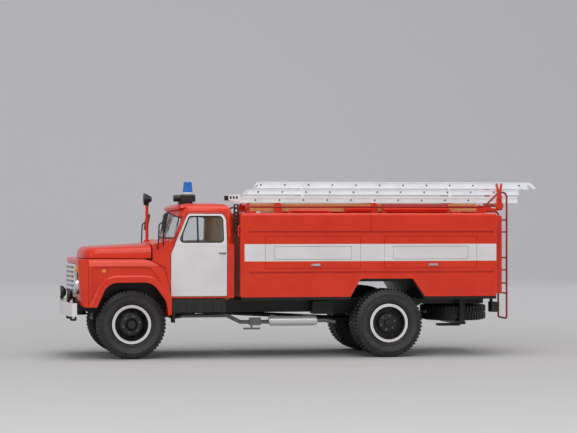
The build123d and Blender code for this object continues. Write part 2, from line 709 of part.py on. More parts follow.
def wing_solid(inset, open_by):
    front, top, rear = MASK_SPLIT - SHUT_GAP / 2, WING_TOP - inset, WING_REAR + inset
    side = outline([
        (front, MASK_FOOT - open_by, 0), (front, top, 0), (WING_REAR + 8.1, top, 6.0),
        (rear + 2.1, WING_TOP - 2.9, 7.0),
        (rear, WING_FOOT + 5.2, 5.0), (rear, WING_FOOT - open_by, 0), (0, WING_FOOT - 2.8, 0),
        (ARCH_HALF - 0.5, MASK_FOOT - open_by, 0),
    ])
    out, inner = WING_OUT - inset, WING_IN - 0.6 * open_by
    ends = outline([(inner, 5, 0), (inner, top, 0), (out, top, WING_ROUND - inset), (out, 5, 0)])
    return side_prism(side, inner - 1, WING_OUT + 1) & front_prism(ends, WING_REAR - 7, MASK_SPLIT + 5)


def wing():
    arch = outline(ARCH)
    through = side_prism(arch, WING_IN - 2, WING_OUT + 4)
    lip = side_prism(offset(arch, LIP_WIDTH), WING_OUT - 1.0, WING_OUT + LIP_PROUD)
    lip = chamfer(lip.faces().sort_by(Axis.Y)[-1].edges(), LIP_BEVEL)
    lip &= block(WING_REAR, MASK_SPLIT - SHUT_GAP / 2, WING_IN, WING_OUT + 2, WING_FOOT, WING_TOP)
    lip -= block(ARCH_HALF - 1.6, MASK_SPLIT + 1, WING_IN, WING_OUT + 2, 8.0, MASK_FOOT)
    skin = wing_solid(0, 0) - wing_solid(WING_WALL, 5)
    skin -= side_prism(outline(DISH), WING_OUT - DISH_DEPTH, WING_OUT + 1)
    return skin + lip - through


def mask_solid(inset, open_by):
    back = MASK_SPLIT + SHUT_GAP / 2 - open_by
    side = outline([
        (back, MASK_FOOT + inset, 0), (MASK_FRONT - 1.7 - inset, MASK_FOOT + inset, 1.9 - inset),
        (MASK_FRONT + 0.6 - inset, WING_TOP - 0.9, 0), (MASK_FRONT - 0.4 - inset, WING_TOP - inset, 0),
        (back, WING_TOP - inset, 0),
    ])
    out, nose = WING_OUT - inset, MASK_FRONT + 0.4 - inset
    corner = MASK_CORNER - inset
    plan = outline([
        (back - 9, -out, 0), (nose - MASK_BOW, -out, corner), (nose, 0, 130.0),
        (nose - MASK_BOW, out, corner),
        (back - 9, out, 0),
    ])
    leaned = Pos(MASK_FRONT, 0, WING_TOP) * Rot(0, MASK_RAKE, 0) * Pos(-MASK_FRONT, 0, -WING_TOP)
    tall = leaned * plan_prism(plan, MASK_FOOT - 7, WING_TOP + 7)
    return side_prism(side, -WING_OUT - 1, WING_OUT + 1) & tall


def front_panel():
    shell = mask_solid(0, 0) - mask_solid(WING_WALL, 5)
    window = panel(-MASK_HALF, MASK_HALF, *GRILLE_Z, MASK_BEND)
    shell -= front_prism(window, MASK_SPLIT - 4, MASK_FRONT + 6)
    rail_room = RAIL_OUT + 1.8
    front, rear = MASK_FRONT + 6, MASK_SPLIT - 4
    return shell - block(rear, front, -rail_room, rail_room, MASK_FOOT - 7, RAIL_TOP + 0.5)


def grille():
    # A bowed plate cut into level bars, on three uprights that stand on the shroud behind it.
    low, high = GRILLE_Z[0] + GRILLE_GAP, GRILLE_Z[1] - GRILLE_GAP
    end, crest, half = GRILLE_FRONT - GRILLE_BOW, GRILLE_FRONT, GRILLE_HALF
    front = ThreePointArc((end, -half), (crest, 0), (end, half))
    back = ThreePointArc((end - GRILLE_T, half), (crest - GRILLE_T, 0), (end - GRILLE_T, -half))
    blade = make_face([front, Line(front @ 1, back @ 0), back, Line(back @ 1, front @ 0)])
    deep = make_face([front, Line((end, half), (SHROUD_X, half)), Line((SHROUD_X, half), (SHROUD_X, -half)),
                      Line((SHROUD_X, -half), (end, -half))])
    bars = plan_prism(blade, low, high)
    step = (high - low - GRILLE_BAR) / GRILLE_SLOTS
    slot_half = half - GRILLE_FRAME
    for i in range(GRILLE_SLOTS):
        z = low + GRILLE_BAR + i * step
        bars -= block(SHROUD_X, crest + 3, -slot_half, slot_half, z, z + step - GRILLE_BAR)
    for y in (-half / 2, 0, half / 2):
        bars += plan_prism(deep, low, high) & block(SHROUD_X, crest + 3, y - 0.4, y + 0.4, low, high)
    return bars & front_prism(panel(-half, half, low, high, 1.2), SHROUD_X, crest + 3)


def lamp_unit(z, r):
    # A lamp with a bevelled rim and a shallow dished lens, standing on the shroud.
    length = LAMP_FRONT - SHROUD_X
    rows = [
        (0, 0), (r, 0), (r, length - 0.5), (r - 0.4, length), (r - 0.7, length - 0.25), (0, length - 0.1),
    ]
    return Pos(SHROUD_X, LAMP_Y, z) * Rot(0, 0, -90) * turned(rows)


def fog_lamp():
    rows = [
        (0, 0), (FOG_R - 1.1, 0), (FOG_R, 1.0), (FOG_R, 2.0), (FOG_R - 0.3, 2.0), (FOG_R - 0.3, 1.7),
        (0, 1.7),
    ]
    shell = Pos(FOG_X, FOG_Y, FOG_Z) * Rot(0, 0, -90) * turned(rows)
    return shell + block(FOG_X + 0.9, FOG_X + 1.7, FOG_Y - 0.5, FOG_Y + 0.5, BUMPER_Z[1], FOG_Z - 1.6)


def bumper():
    tip, end = FRONT_OVERHANG - BUMPER_SWEEP, FRONT_OVERHANG - BUMPER_REACH
    low, high = BUMPER_Z
    half = BUMPER_HALF
    front = ThreePointArc((tip, -half), (FRONT_OVERHANG, 0), (tip, half))
    sides = Polyline((tip, half), (end, half), (end, -half), (tip, -half))
    face = make_face([front, *sides.edges()])
    face = fillet(face.vertices().group_by(Axis.X)[-1], BUMPER_CORNER)
    thin = Pos(-BUMPER_T, 0, 0) * offset(face, -BUMPER_T)
    deep = Pos(-2.0, 0, 0) * offset(face, -BUMPER_T)
    skin = plan_prism(face, low, high) - plan_prism(thin, low, high)
    lips = plan_prism(face, low, low + BUMPER_LIP) + plan_prism(face, high - BUMPER_LIP, high)
    lips -= plan_prism(deep, low, high)
    back = block(0, end + 1.2, -half + BUMPER_T, half - BUMPER_T, low - 1, high + 1)
    return skin + lips - back


# Body
# The rear wheel opening: X from the rear axle at its foot and at its top, front then rear.
REAR_ARCH_X = (
    REAR_X + TYRE_R + 1.95, REAR_X + TYRE_R - 1.65, REAR_X - TYRE_R + 3.55, REAR_X - TYRE_R - 0.65,
)
BODY_NOSE = BODY_FRONT + 0.7
# Locker doors: front and rear edge along X.
LOCKERS = [(BODY_FRONT - 7.5, BODY_MID + 3.5), (BODY_MID - 4.4, BODY_REAR + 7.0)]


def body_hull():
    # The body's outer form, with rounded corners and roof edges.
    plan = panel(BODY_REAR, BODY_NOSE, -BODY_HALF, BODY_HALF, BODY_ROUND)
    ends = outline([
        (-BODY_HALF, BODY_BOTTOM, 0), (-BODY_HALF, BODY_TOP, BODY_ROUND), (BODY_HALF, BODY_TOP, BODY_ROUND),
        (BODY_HALF, BODY_BOTTOM, 0),
    ])
    return plan_prism(plan, BODY_BOTTOM, BODY_TOP) & front_prism(ends, BODY_REAR, BODY_NOSE)


def body_side_outline():
    foot_front, top_front, top_rear, foot_rear = REAR_ARCH_X
    return outline([
        (BODY_NOSE, BODY_BOTTOM, 0.6), (BODY_NOSE, BODY_TOP, BODY_ROUND), (BODY_REAR, BODY_TOP, BODY_ROUND),
        (BODY_REAR, BODY_BOTTOM, 0.6), (foot_rear, BODY_BOTTOM, 0.3), (top_rear, REAR_ARCH_TOP, 1.0),
        (top_front, REAR_ARCH_TOP, 1.0), (foot_front, BODY_BOTTOM, 0.3),
    ])


def cut_in(face, depth):
    return side_prism(face, BODY_HALF - depth, BODY_HALF + 1)


def engraving():
    cuts = []
    for z in GROOVE_Z:
        line = panel(BODY_FRONT - 2.2, BODY_REAR + 1.4, z - GROOVE_W / 2, z + GROOVE_W / 2)
        cuts.append(cut_in(line, GROOVE_DEPTH))
    for front, rear in LOCKERS:
        frames = [
            panel(front, rear, *LOCKER_Z),
            panel(front - LOCKER_INSET, rear + LOCKER_INSET, STRIPE_Z[0] + 0.5, STRIPE_Z[1] - 0.7),
        ]
        for face in frames:
            cuts.append(cut_in(face, LINE_W) - cut_in(offset(face, -LINE_W, kind=Kind.INTERSECTION), LINE_W))
    seam = panel(BODY_MID - LINE_W / 2, BODY_MID + LINE_W / 2, GROOVE_Z[1], BODY_TOP + 1)
    cuts.append(cut_in(seam, LINE_W))
    return cuts


def body_side():
    slab = block(BODY_REAR - 1, BODY_NOSE + 1, BODY_HALF - BODY_WALL, BODY_HALF + 1, 0, BODY_TOP + 1)
    wall = body_hull() & side_prism(body_side_outline(), BODY_HALF - 2 * BODY_WALL, BODY_HALF + 1) & slab
    stripe = block(BODY_NOSE - 1.4, BODY_REAR - 1, BODY_HALF - STRIPE_T, BODY_HALF + 1, *STRIPE_Z)
    band = wall & stripe
    wall -= stripe
    for cut in engraving():
        wall -= cut
        band -= cut
    return wall, band


def body_floor():
    half = BODY_HALF - BODY_WALL
    foot_front, top_front, top_rear, foot_rear = REAR_ARCH_X
    low, high = RAIL_TOP, REAR_ARCH_TOP
    rows = [
        (BODY_FRONT, low), (foot_front, low), (top_front, high), (top_rear, high), (foot_rear, low),
        (BODY_REAR, low),
        (BODY_REAR, low + FLOOR_T), (foot_rear - 0.7, low + FLOOR_T), (top_rear - 0.6, high + FLOOR_T),
        (top_front + 0.6, high + FLOOR_T), (foot_front + 0.7, low + FLOOR_T), (BODY_FRONT, low + FLOOR_T),
    ]
    return side_prism(outline([(x, z, 0) for x, z in rows]), -half, half)


def body_ends():
    half = BODY_HALF - BODY_WALL
    low, high = RAIL_TOP + FLOOR_T, BODY_TOP - BODY_WALL
    front = block(BODY_FRONT, BODY_FRONT - 1.0, -half, half, low, high)
    rear = block(BODY_REAR + 1.0, BODY_REAR, -half, half, low, high)
    back, door_half = BODY_REAR - PUMP_DOOR_T, PUMP_DOOR_HALF
    door = block(BODY_REAR, back, -door_half, door_half, BODY_BOTTOM + 0.6, BODY_TOP - 0.7)
    door = fillet(door.edges().group_by(Axis.X)[0], 1.0)
    roof = block(BODY_FRONT, BODY_REAR, -half, half, high, BODY_TOP)
    return front, rear, door, roof


def locker_handle(front, rear):
    x = (front + rear) / 2 - 1.0
    z = LOCKER_Z[0] + 1.3
    grip = outline([
        (x - HANDLE_LENGTH / 2, BODY_HALF, 0), (x - HANDLE_LENGTH / 2 + 0.4, BODY_HALF + 0.5, 0),
        (x + HANDLE_LENGTH / 2 - 0.4, BODY_HALF + 0.5, 0), (x + HANDLE_LENGTH / 2, BODY_HALF, 0),
    ])
    return plan_prism(grip, z - 0.35, z + 0.35)


# Roof load
# Cradles: place along X, and whether the tall outer lugs stand on it.
CRADLES = [
    (BODY_FRONT - 5.3, False), (BODY_FRONT - 14.0, True), (BODY_MID - 3.7, True), (BODY_REAR + 11.2, False),
]


def cradle(x, tall):
    top = LADDER_Z - 0.05
    rest = block(x - CRADLE_HALF, x + CRADLE_HALF, -CRADLE_Y, CRADLE_Y, BODY_TOP, BODY_TOP + CRADLE_T)
    lug = outline([
        (x - CRADLE_HALF, BODY_TOP, 0), (x - CRADLE_HALF, top, CRADLE_HALF * 0.9),
        (x + CRADLE_HALF, top, CRADLE_HALF * 0.9), (x + CRADLE_HALF, BODY_TOP, 0),
    ])
    for side in (-1, 1):
        if tall:
            rest += side_prism(lug, side * (CRADLE_Y - 0.8), side * CRADLE_Y)
        rest += side_prism(lug, side * 7.2, side * 7.9)
    roller_z = LADDER_Z - ROLLER_R - 0.02
    return rest + bar((x, -FORK_Y, roller_z), (x, FORK_Y, roller_z), ROLLER_R)


def hose_case(x0, x1, height):
    # A red tube case lying on the roof beside the pole ladder.
    y = CRADLE_Y + 0.9
    r = height / 2
    case = bar((x0, y, BODY_TOP + r), (x1, y, BODY_TOP + r), r)
    for x in (x0, x1):
        case += block(x - 0.5, x + 0.5, y - 1.0, y + 1.0, BODY_TOP, BODY_TOP + r)
    return case


# Ladder sections: half width, bottom, height, front end, rear end, first rung.
SECTIONS = {
    "ladder_lower": (6.2, LADDER_Z, 1.9, BODY_FRONT - 1.6, BODY_REAR - 13.2, BODY_FRONT - 7.6),
    "ladder_middle": (5.2, LADDER_Z + 2.8, 1.8, BODY_FRONT - 4.8, BODY_REAR - 14.0, BODY_FRONT - 8.7),
    "ladder_upper": (4.2, LADDER_Z + 5.0, 2.2, BODY_FRONT - 8.4, BODY_REAR - 18.0, BODY_FRONT - 9.8),
}


def ladder(half, low, height, front, rear, first, hooked):
    top = low + height
    rows = [(front, low, 0.2), (front - height * 0.6, top, 0.2), (rear + 0.5, top, 0.3), (rear, low, 0.2)]
    if hooked:
        rows = [
            (front, low, 0), (front - height * 0.6, top, 0), (rear, top, 1.2), (LADDER_TIP, low + 0.3, 0),
            (LADDER_TIP + 0.7, low - 0.3, 0), (rear + 0.9, top - 0.8, 0), (rear + 1.7, low + 0.6, 0),
            (rear + 1.2, low, 0), (rear + 1.8, low - 0.4, 0), (rear + 3.4, low, 0),
        ]
    stile = side_prism(outline(rows), half - STILE_T, half)
    shape = stile + mirror(stile, about=Plane.XZ)
    middle = low + height / 2
    x = first
    while x > rear + 2.5:
        shape += bar((x, -half - 0.1, middle), (x, half + 0.1, middle), RUNG_R)
        x -= RUNG_PITCH
    return shape


def ladder_shoes():
    # The perforated front feet of the lower ladder section.
    half, low, height, front = SECTIONS["ladder_lower"][:4]
    rows = [
        (front - 0.6, low + 0.5, 0), (front + 3.2, low + 0.8, 0), (front + 3.2, low + 2.6, 0),
        (front - 0.6, low + 2.9, 0),
    ]
    foot = side_prism(outline(rows), half - STILE_T, half)
    for i in range(3):
        x = front + 0.4 + i * 1.05
        foot -= side_prism(panel(x - 0.35, x + 0.35, low + 1.25, low + 2.2), half - 2, half + 2)
    return foot + mirror(foot, about=Plane.XZ)


def ladder_blocks():
    # Spacers that carry each section on the one below it.
    names = list(SECTIONS)
    solids = []
    for under, over in zip(names, names[1:]):
        half, low, height = SECTIONS[under][:3]
        for x in (BODY_FRONT - 23.8, BODY_REAR + 11.2):
            pad = block(x - SPACER_HALF, x + SPACER_HALF, -half, half, low + height, SECTIONS[over][1])
            solids.append(pad)
    return solids


# Rear access ladder: rung heights from the ground.
STEP_Z = [12.5, 21.0, 24.4, 33.1, 41.9]


def access_ladder():
    crest = BODY_TOP + 7.1
    front = BODY_FRONT - 2.2
    tube = pipe([
        (front, RAIL_Y, BODY_TOP), (front, RAIL_Y, RAIL_Z), (BODY_REAR + 2.6, RAIL_Y, RAIL_Z),
        (BODY_REAR - 2.6, RAIL_Y, crest), (LADDER_BACK, RAIL_Y, crest), (LADDER_BACK, RAIL_Y, STEP_Z[0]),
        (LADDER_BACK, STEP_Y, STEP_Z[0]), (LADDER_BACK, STEP_Y, BODY_TOP + 0.6),
        (BODY_REAR - 1.3, STEP_Y, BODY_TOP + 0.6),
    ], TUBE_R, [1.5, 4.0, 2.4, 1.6, 1.2, 1.2, 1.2])
    for z in STEP_Z[1:]:
        tube += bar((LADDER_BACK, STEP_Y, z), (LADDER_BACK, RAIL_Y, z), 0.28)
    for y in (STEP_Y, RAIL_Y):
        for z in (BODY_TOP - 2.3, BODY_TOP - 19.3):
            tube += bar((LADDER_BACK, y, z), (BODY_REAR - PUMP_DOOR_T, y, z), 0.26)
    return tube


def roof_rail():
    front, rear = BODY_FRONT - 2.2, BODY_REAR + 2.2
    return pipe([
        (front, -RAIL_Y, BODY_TOP), (front, -RAIL_Y, RAIL_Z), (rear, -RAIL_Y, RAIL_Z),
        (rear, -RAIL_Y, BODY_TOP),
    ], TUBE_R, 1.5)


def fork():
    # The rear stand: bracket, pulleys and two pairs of horns that keep the ladder in place.
    x = FORK_X
    bracket = outline([
        (BODY_REAR + 4.5, BODY_TOP, 0), (BODY_REAR + 1.6, BODY_TOP + 3.0, 0), (x + 1.2, BODY_TOP + 1.6, 0),
        (x + 0.7, BODY_TOP + 6.4, 0), (x + 1.1, BODY_TOP + 10.4, 0), (x + 0.6, BODY_TOP + 10.4, 0),
        (x, BODY_TOP + 7.8, 0), (x - 0.6, BODY_TOP + 10.4, 0), (x - 1.1, BODY_TOP + 10.4, 0),
        (x - 0.7, BODY_TOP + 6.4, 0), (x - 1.2, BODY_TOP + 1.2, 0), (BODY_REAR, BODY_TOP, 0),
    ])
    stand = None
    for side in (-1, 1):
        plate = side_prism(bracket, side * FORK_Y, side * (FORK_Y + FORK_T))
        for z, r in ((BODY_TOP + 2.7, 1.35), (BODY_TOP + 5.8, 0.9)):
            plate += Pos(x, side * (FORK_Y + FORK_T + 0.1), z) * Rot(90, 0, 0) * Cylinder(r, FORK_T)
        stand = plate if stand is None else stand + plate
    roller_z = LADDER_Z - ROLLER_R - 0.02
    return stand + bar((x, -FORK_Y - 0.2, roller_z), (x, FORK_Y + 0.2, roller_z), ROLLER_R)


def front_post(y):
    # A perforated strip on the body's front wall, behind the cab.
    x0, x1 = BODY_FRONT, BODY_FRONT + POST_WIDTH
    top = LADDER_Z - 0.6
    post = block(x0, x1, y - POST_T / 2, y + POST_T / 2, POST_LOW, top)
    hole = extrude(Rot(90, 0, 0) * RegularPolygon(POST_HOLE_R, BAR_SIDES), amount=POST_T, both=True)
    z = top - 0.8
    while z > POST_LOW + 0.6:
        post -= Pos((x0 + x1) / 2, y, z) * hole
        z -= POST_PITCH
    return post


def pole_ladder():
    # Two wooden stiles folded together, with a groove between them.
    y0, y1 = 9.6, 12.2
    low, high = BODY_TOP + CRADLE_T, LADDER_Z - 0.3
    middle = (low + high) / 2
    section = outline([
        (y0, low, 0), (y1, low, 0), (y1, middle - 0.15, 0), (y1 - 0.5, middle, 0), (y1, middle + 0.15, 0),
        (y1, high, 0), (y0, high, 0),
    ])
    return front_prism(section, BODY_REAR + 3.4, BODY_FRONT - 4.8)


# Small fittings
def running_board():
    front, rear = WING_REAR - 0.2, CAB_REAR + 2.8
    top, low = RAIL_TOP + 0.5, RAIL_TOP - 3.9
    out = CAB_HALF
    board = block(front, rear, out - 0.8, out, low, top) + block(front, rear, out - 5.4, out, top - 0.6, top)
    rib = front - 2.1
    while rib > rear + 1.5:
        board -= block(rib - 0.25, rib + 0.25, out - 0.2, out + 1, low + 0.4, top - 0.9)
        rib -= 2.9
    for x in (front - 3.1, rear + 3.0):
        board += block(x - 0.6, x + 0.6, RAIL_OUT, out - 0.6, top - 1.4, top - 0.6)
    flap = block(front - 1.2, front - 0.4, out - 5.4, out, low - 3.4, low + 1.0)
    return board + flap


def mirror_head(cab):
    y = CAB_HALF
    blade = outline([
        (COWL_FRONT - 3.4, BELT + 4.7, 0), (COWL_FRONT - 2.8, BELT + 4.9, 0),
        (COWL_FRONT - 3.7, BELT + 10.1, 0),
        (COWL_FRONT - 4.3, BELT + 10.0, 0),
    ])
    head = side_prism(blade, y + 0.4, y + 3.6)
    head += pipe([
        (COWL_FRONT - 1.5, y - 0.4, BELT - 1.6), (COWL_FRONT - 1.5, y + 1.4, BELT - 0.6),
        (COWL_FRONT - 1.8, y + 1.6, BELT + 6.4), (COWL_FRONT - 3.2, y + 1.6, BELT + 7.6),
    ], 0.22, 0.8)
    head += bar((COWL_FRONT - 3.4, y - 0.4, BELT - 1.4), (COWL_FRONT - 3.2, y + 1.4, BELT + 5.2), 0.22)
    return head - cab


def searchlight(cab):
    x, y = COWL_FRONT - 2.8, 4.5 - CAB_HALF
    head_z = BELT + 15.3
    post = bar((x, y, BELT - 0.8), (x, y, head_z - 2.2), 0.55)
    post += Pos(x, y, BELT + 0.6) * Cylinder(1.0, 1.0)
    rows = [(0, -1.4), (0.8, -1.3), (1.3, -0.5), (2.05, 1.0), (2.05, 1.5), (0, 1.5)]
    lamp = Pos(x - 0.3, y, head_z) * Rot(0, 0, -90) * turned(rows)
    lamp += Pos(x, y, head_z - 1.8) * Cylinder(0.7, 0.8)
    return post - cab - lamp, lamp


def beacon(cab):
    # Siren box on the roof with its horn drum in front, and the beacon standing on it.
    top = CAB_TOP + 2.9
    box = block(BEACON_X - 2.3, BEACON_X + 2.6, -2.8, 2.8, CAB_TOP + 0.4, top)
    box = fillet(box.edges().group_by(Axis.Z)[-1], 0.5)
    box += drum(BEACON_X + 3.7, 0, CAB_TOP + 1.6, 1.15, 2.4)
    box += block(BEACON_X - 1.4, BEACON_X + 3.2, -1.8, 1.8, CAB_TOP - 1.2, CAB_TOP + 0.8)
    rows = [
        (0, top), (1.87, top), (1.87, top + 0.7), (1.7, top + 0.8), (1.4, top + 4.0),
        (1.0, top + 4.4), (0, top + 4.4),
    ]
    dome = Pos(BEACON_X, 0, 0) * Rot(90, 0, 0) * turned(rows)
    return box - cab, dome


def spare_wheel():
    # The spare lies flat: a tyre on its pressed, dished disc.
    bead = BEAD_R / cos(pi / LUG_COUNT)
    disc = plan_prism(faceted(bead + 0.3, 0), -0.2, 0.8)
    disc += loft([faceted(4.8, -0.2), faceted(1.2, -0.7)], ruled=True)
    disc -= loft([faceted(1.2, 0.3), faceted(4.6, 0.8)], ruled=True)
    disc -= plan_prism(faceted(1.2, 0), -1.0, 1.0)
    return Pos(SPARE_X, 0, SPARE_Z) * (Rot(90, 0, 0) * tyre() + disc)


def spare_carrier():
    low = SPARE_Z - TYRE_HALF - SEAT_GAP
    half = TYRE_R + 1.7
    carrier = block(SPARE_X - 1.2, SPARE_X + 1.2, -half, half, low - 1.0, low)
    for side in (-1, 1):
        carrier += block(SPARE_X - 0.9, SPARE_X + 0.9, side * (half - 0.8), side * half, low - 1.0, RAIL_TOP)
    return carrier + block(SPARE_X - 1.2, SPARE_X + 6.5, 2.0, 6.0, low - 1.8, low - 1.0)


def tail_lamp():
    x, y = BODY_REAR + 0.8, 20.0
    lamp = block(x, x - 2.6, y - 2.2, y + 2.2, BODY_BOTTOM - 5.6, BODY_BOTTOM - 2.2)
    return lamp + block(x, x - 0.8, y - 0.6, y + 0.6, BODY_BOTTOM - 2.2, RAIL_TOP)


# Collect every node
NODES = {}


def add(name, *shapes):
    NODES[name] = shapes


# Chassis nodes
add("chassis_frame", chassis_frame())
add("engine_block", drive_line())
add("front_axle", front_axle())
add("rear_axle", rear_axle())
front_seat = TYRE_R - BEAM_DROP + 0.02
rear_seat = TYRE_R + AXLE_TUBE_R + 0.02
front_spring = leaf_spring(0, RAIL_IN - 0.1, RAIL_OUT + 0.1, 13.0, RAIL_BOTTOM - 0.45, front_seat, 4)
rear_eye = rear_seat + 3 * LEAF_T + 0.6
rear_spring = leaf_spring(REAR_X, RAIL_OUT + 0.3, RAIL_OUT + 2.0, 16.0, rear_eye, rear_seat, 3)
add("leaf_springs", *both(front_spring), *both(rear_spring))
add("exhaust", exhaust())
add("spare_wheel", spare_wheel())
add("spare_carrier", spare_carrier())
add("running_boards", *both(running_board()))
add("tail_lamps", *both(tail_lamp()))

# Front end nodes
add("front_bumper", bumper())
add("front_panel", front_panel())
add("grille", grille())
add("headlamps", *both(lamp_unit(LAMP_Z, LAMP_R)))
repeater = Pos(9.5, WING_OUT - DISH_DEPTH + 0.2, WING_TOP - 3.8) * Rot(90, 0, 0) * Cylinder(REPEATER_R, 0.4)
add("indicators", *both(lamp_unit(TURN_Z, TURN_R)), *both(repeater))
add("fog_lamps", *both(fog_lamp()))
fog_lens = drum(FOG_X + 1.85, FOG_Y, FOG_Z, FOG_R - 0.35, 0.3)
add("fog_lenses", *both(fog_lens))
add("bonnet", bonnet())
wings = both(wing())
add("wing_left", wings[0])
add("wing_right", wings[1])

# Cab nodes
cab_shell, doors, panes, cab_outer = cab_parts()
tub = cab_interior()
add("cab_shell", cab_shell)
add("door_left", doors[0])
add("door_right", doors[1])
add("cab_glass", *panes)
add("cab_interior", tub)
add("steering_wheel", steering_wheel() - tub)
add("mirrors", *both(mirror_head(cab_outer)))
post, lamp_head = searchlight(cab_outer)
add("searchlight_post", post)
add("searchlight", lamp_head)
siren, dome = beacon(cab_outer + brow())
add("siren_box", siren)
add("beacon", dome)

# Body nodes
wall, band = body_side()
front_wall, rear_wall, pump_door, roof = body_ends()
add("body_side_left", wall)
add("body_side_right", mirror(wall, about=Plane.XZ))
add("body_stripes", *both(band))
add("body_floor", body_floor())
add("body_end_walls", front_wall, rear_wall)
add("pump_door", pump_door)
add("body_roof", roof)
handles = []
for front, rear in LOCKERS:
    handles += both(locker_handle(front, rear))
add("locker_handles", *handles)

# Roof load nodes
cases = both(hose_case(CRADLES[1][0] - 4.0, CRADLES[2][0] + 16.0, 1.5))
cases += both(hose_case(CRADLES[2][0] - 3.0, CRADLES[3][0] + 3.0, 2.6))
add("roof_cradles", *[cradle(x, tall) for x, tall in CRADLES], *cases)
add("ladder_lower", ladder(*SECTIONS["ladder_lower"], hooked=False) + ladder_shoes())
add("ladder_middle", ladder(*SECTIONS["ladder_middle"], hooked=False))
add("ladder_upper", ladder(*SECTIONS["ladder_upper"], hooked=True))
add("ladder_spacers", *ladder_blocks())
add("roof_rails", access_ladder(), roof_rail())
add("ladder_fork", fork())
add("front_posts", *both(front_post(POST_Y)))
add("pole_ladder", pole_ladder())

# Wheel nodes
for side, tag in ((1, "left"), (-1, "right")):
    facing = Rot(0, 0, 0 if side > 0 else 180)
    front = Pos(0, side * FRONT_Y, TYRE_R) * facing
    rear = Pos(REAR_X, side * REAR_Y, TYRE_R) * facing
    add(f"front_tyre_{tag}", front * tyre())
    add(f"front_rim_{tag}", front * front_rim())
    add(f"front_ring_{tag}", front * ring(FRONT_FACE))
    add(f"rear_tyres_{tag}", rear * Pos(0, TWIN_HALF, 0) * tyre(), rear * Pos(0, -TWIN_HALF, 0) * tyre())
    add(f"rear_rim_{tag}", rear * rear_rim())
    add(f"rear_ring_{tag}", rear * ring(REAR_FACE))

os.makedirs("parts", exist_ok=True)
for name, shapes in NODES.items():
    solids = []
    for shape in shapes:
        solids += (SHIFT * shape).solids()
    export_step(Compound(children=solids) if len(solids) > 1 else solids[0], f"parts/{name}.step")
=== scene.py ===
# %% [markdown]
# # A die-cast fire engine, finished for display
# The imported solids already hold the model's forms. This lesson loads them as a fixed frame, sets
# the camera and a soft studio round them, and then works from finish to finish: enamel, moulded
# plastic, rubber, lenses. The thin pieces that a maker would add last come at the end.

# %% Load the frame
import json
import math

import bmesh
import bpy
from mathutils import Matrix, Vector
from mathutils.bvhtree import BVHTree


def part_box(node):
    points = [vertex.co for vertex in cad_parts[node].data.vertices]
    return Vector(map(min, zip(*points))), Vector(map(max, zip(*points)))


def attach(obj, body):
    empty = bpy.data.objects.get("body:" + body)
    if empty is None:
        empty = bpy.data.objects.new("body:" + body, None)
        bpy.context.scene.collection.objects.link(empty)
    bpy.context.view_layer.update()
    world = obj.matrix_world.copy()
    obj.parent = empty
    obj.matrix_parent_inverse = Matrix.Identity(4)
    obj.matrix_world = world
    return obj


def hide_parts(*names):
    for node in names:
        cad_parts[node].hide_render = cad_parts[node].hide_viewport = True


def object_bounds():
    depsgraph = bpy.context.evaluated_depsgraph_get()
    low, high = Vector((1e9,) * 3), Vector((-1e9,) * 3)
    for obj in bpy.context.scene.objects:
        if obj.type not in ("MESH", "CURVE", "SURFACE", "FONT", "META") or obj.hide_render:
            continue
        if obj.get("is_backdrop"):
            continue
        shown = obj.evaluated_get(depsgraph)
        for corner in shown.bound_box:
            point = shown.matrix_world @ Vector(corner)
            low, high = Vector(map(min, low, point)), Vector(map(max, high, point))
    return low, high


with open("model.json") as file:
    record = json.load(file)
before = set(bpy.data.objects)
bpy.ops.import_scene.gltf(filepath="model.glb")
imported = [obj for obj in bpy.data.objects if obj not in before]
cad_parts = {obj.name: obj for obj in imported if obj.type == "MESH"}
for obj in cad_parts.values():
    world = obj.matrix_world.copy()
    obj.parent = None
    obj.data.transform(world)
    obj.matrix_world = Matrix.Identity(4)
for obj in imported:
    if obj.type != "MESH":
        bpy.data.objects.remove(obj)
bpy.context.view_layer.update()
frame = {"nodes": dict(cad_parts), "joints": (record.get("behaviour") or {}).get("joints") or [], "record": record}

MM = 0.001
nodes = frame["nodes"]
hinges = {joint["child"]: Vector(joint["pos_m"]) for joint in frame["joints"]}
axle = hinges["front_wheel_left"]

# %% [markdown]
# ## Where things are
# Sizes below are in the model's own millimetres. X is counted from the front axle, which is how
# they were read from the picture, so one small function turns such a place into metres in the
# frame. Nearly every piece comes in a left and a right one, so the two sides get a name as well.

# %% Places in model millimetres
SIDES = ((1, "left"), (-1, "right"))
FORWARD, LEFT, UP = Vector((1, 0, 0)), Vector((0, 1, 0)), Vector((0, 0, 1))


def at(x, y, z):
    return Vector((axle.x + x * MM, y * MM, z * MM))


print("front axle at", [round(v / MM, 2) for v in axle])

# %% [markdown]
# ## The camera
# The picture was taken with a long lens from the left, a little ahead of the model and level with
# its windows. A long lens keeps the sides nearly parallel. The place, heading and lens come from
# fitting the wheels, lamps and body edges, so nothing here is framed by eye.

# %% Camera
PICTURE_WIDTH = 577
FOCAL_PIXELS = 2137.8
SENSOR_WIDTH = 36.0
NEAREST, FARTHEST = 0.01, 20.0
CAMERA_PLACE = (73.37, 724.31, 45.56)
HEADING = math.radians(10.154)
TILT_UP = math.radians(0.129)


def place_object(name, data):
    obj = bpy.data.objects.new(name, data)
    bpy.context.scene.collection.objects.link(obj)
    return obj


def look_along(way):
    return way.to_track_quat("-Z", "Y").to_euler()


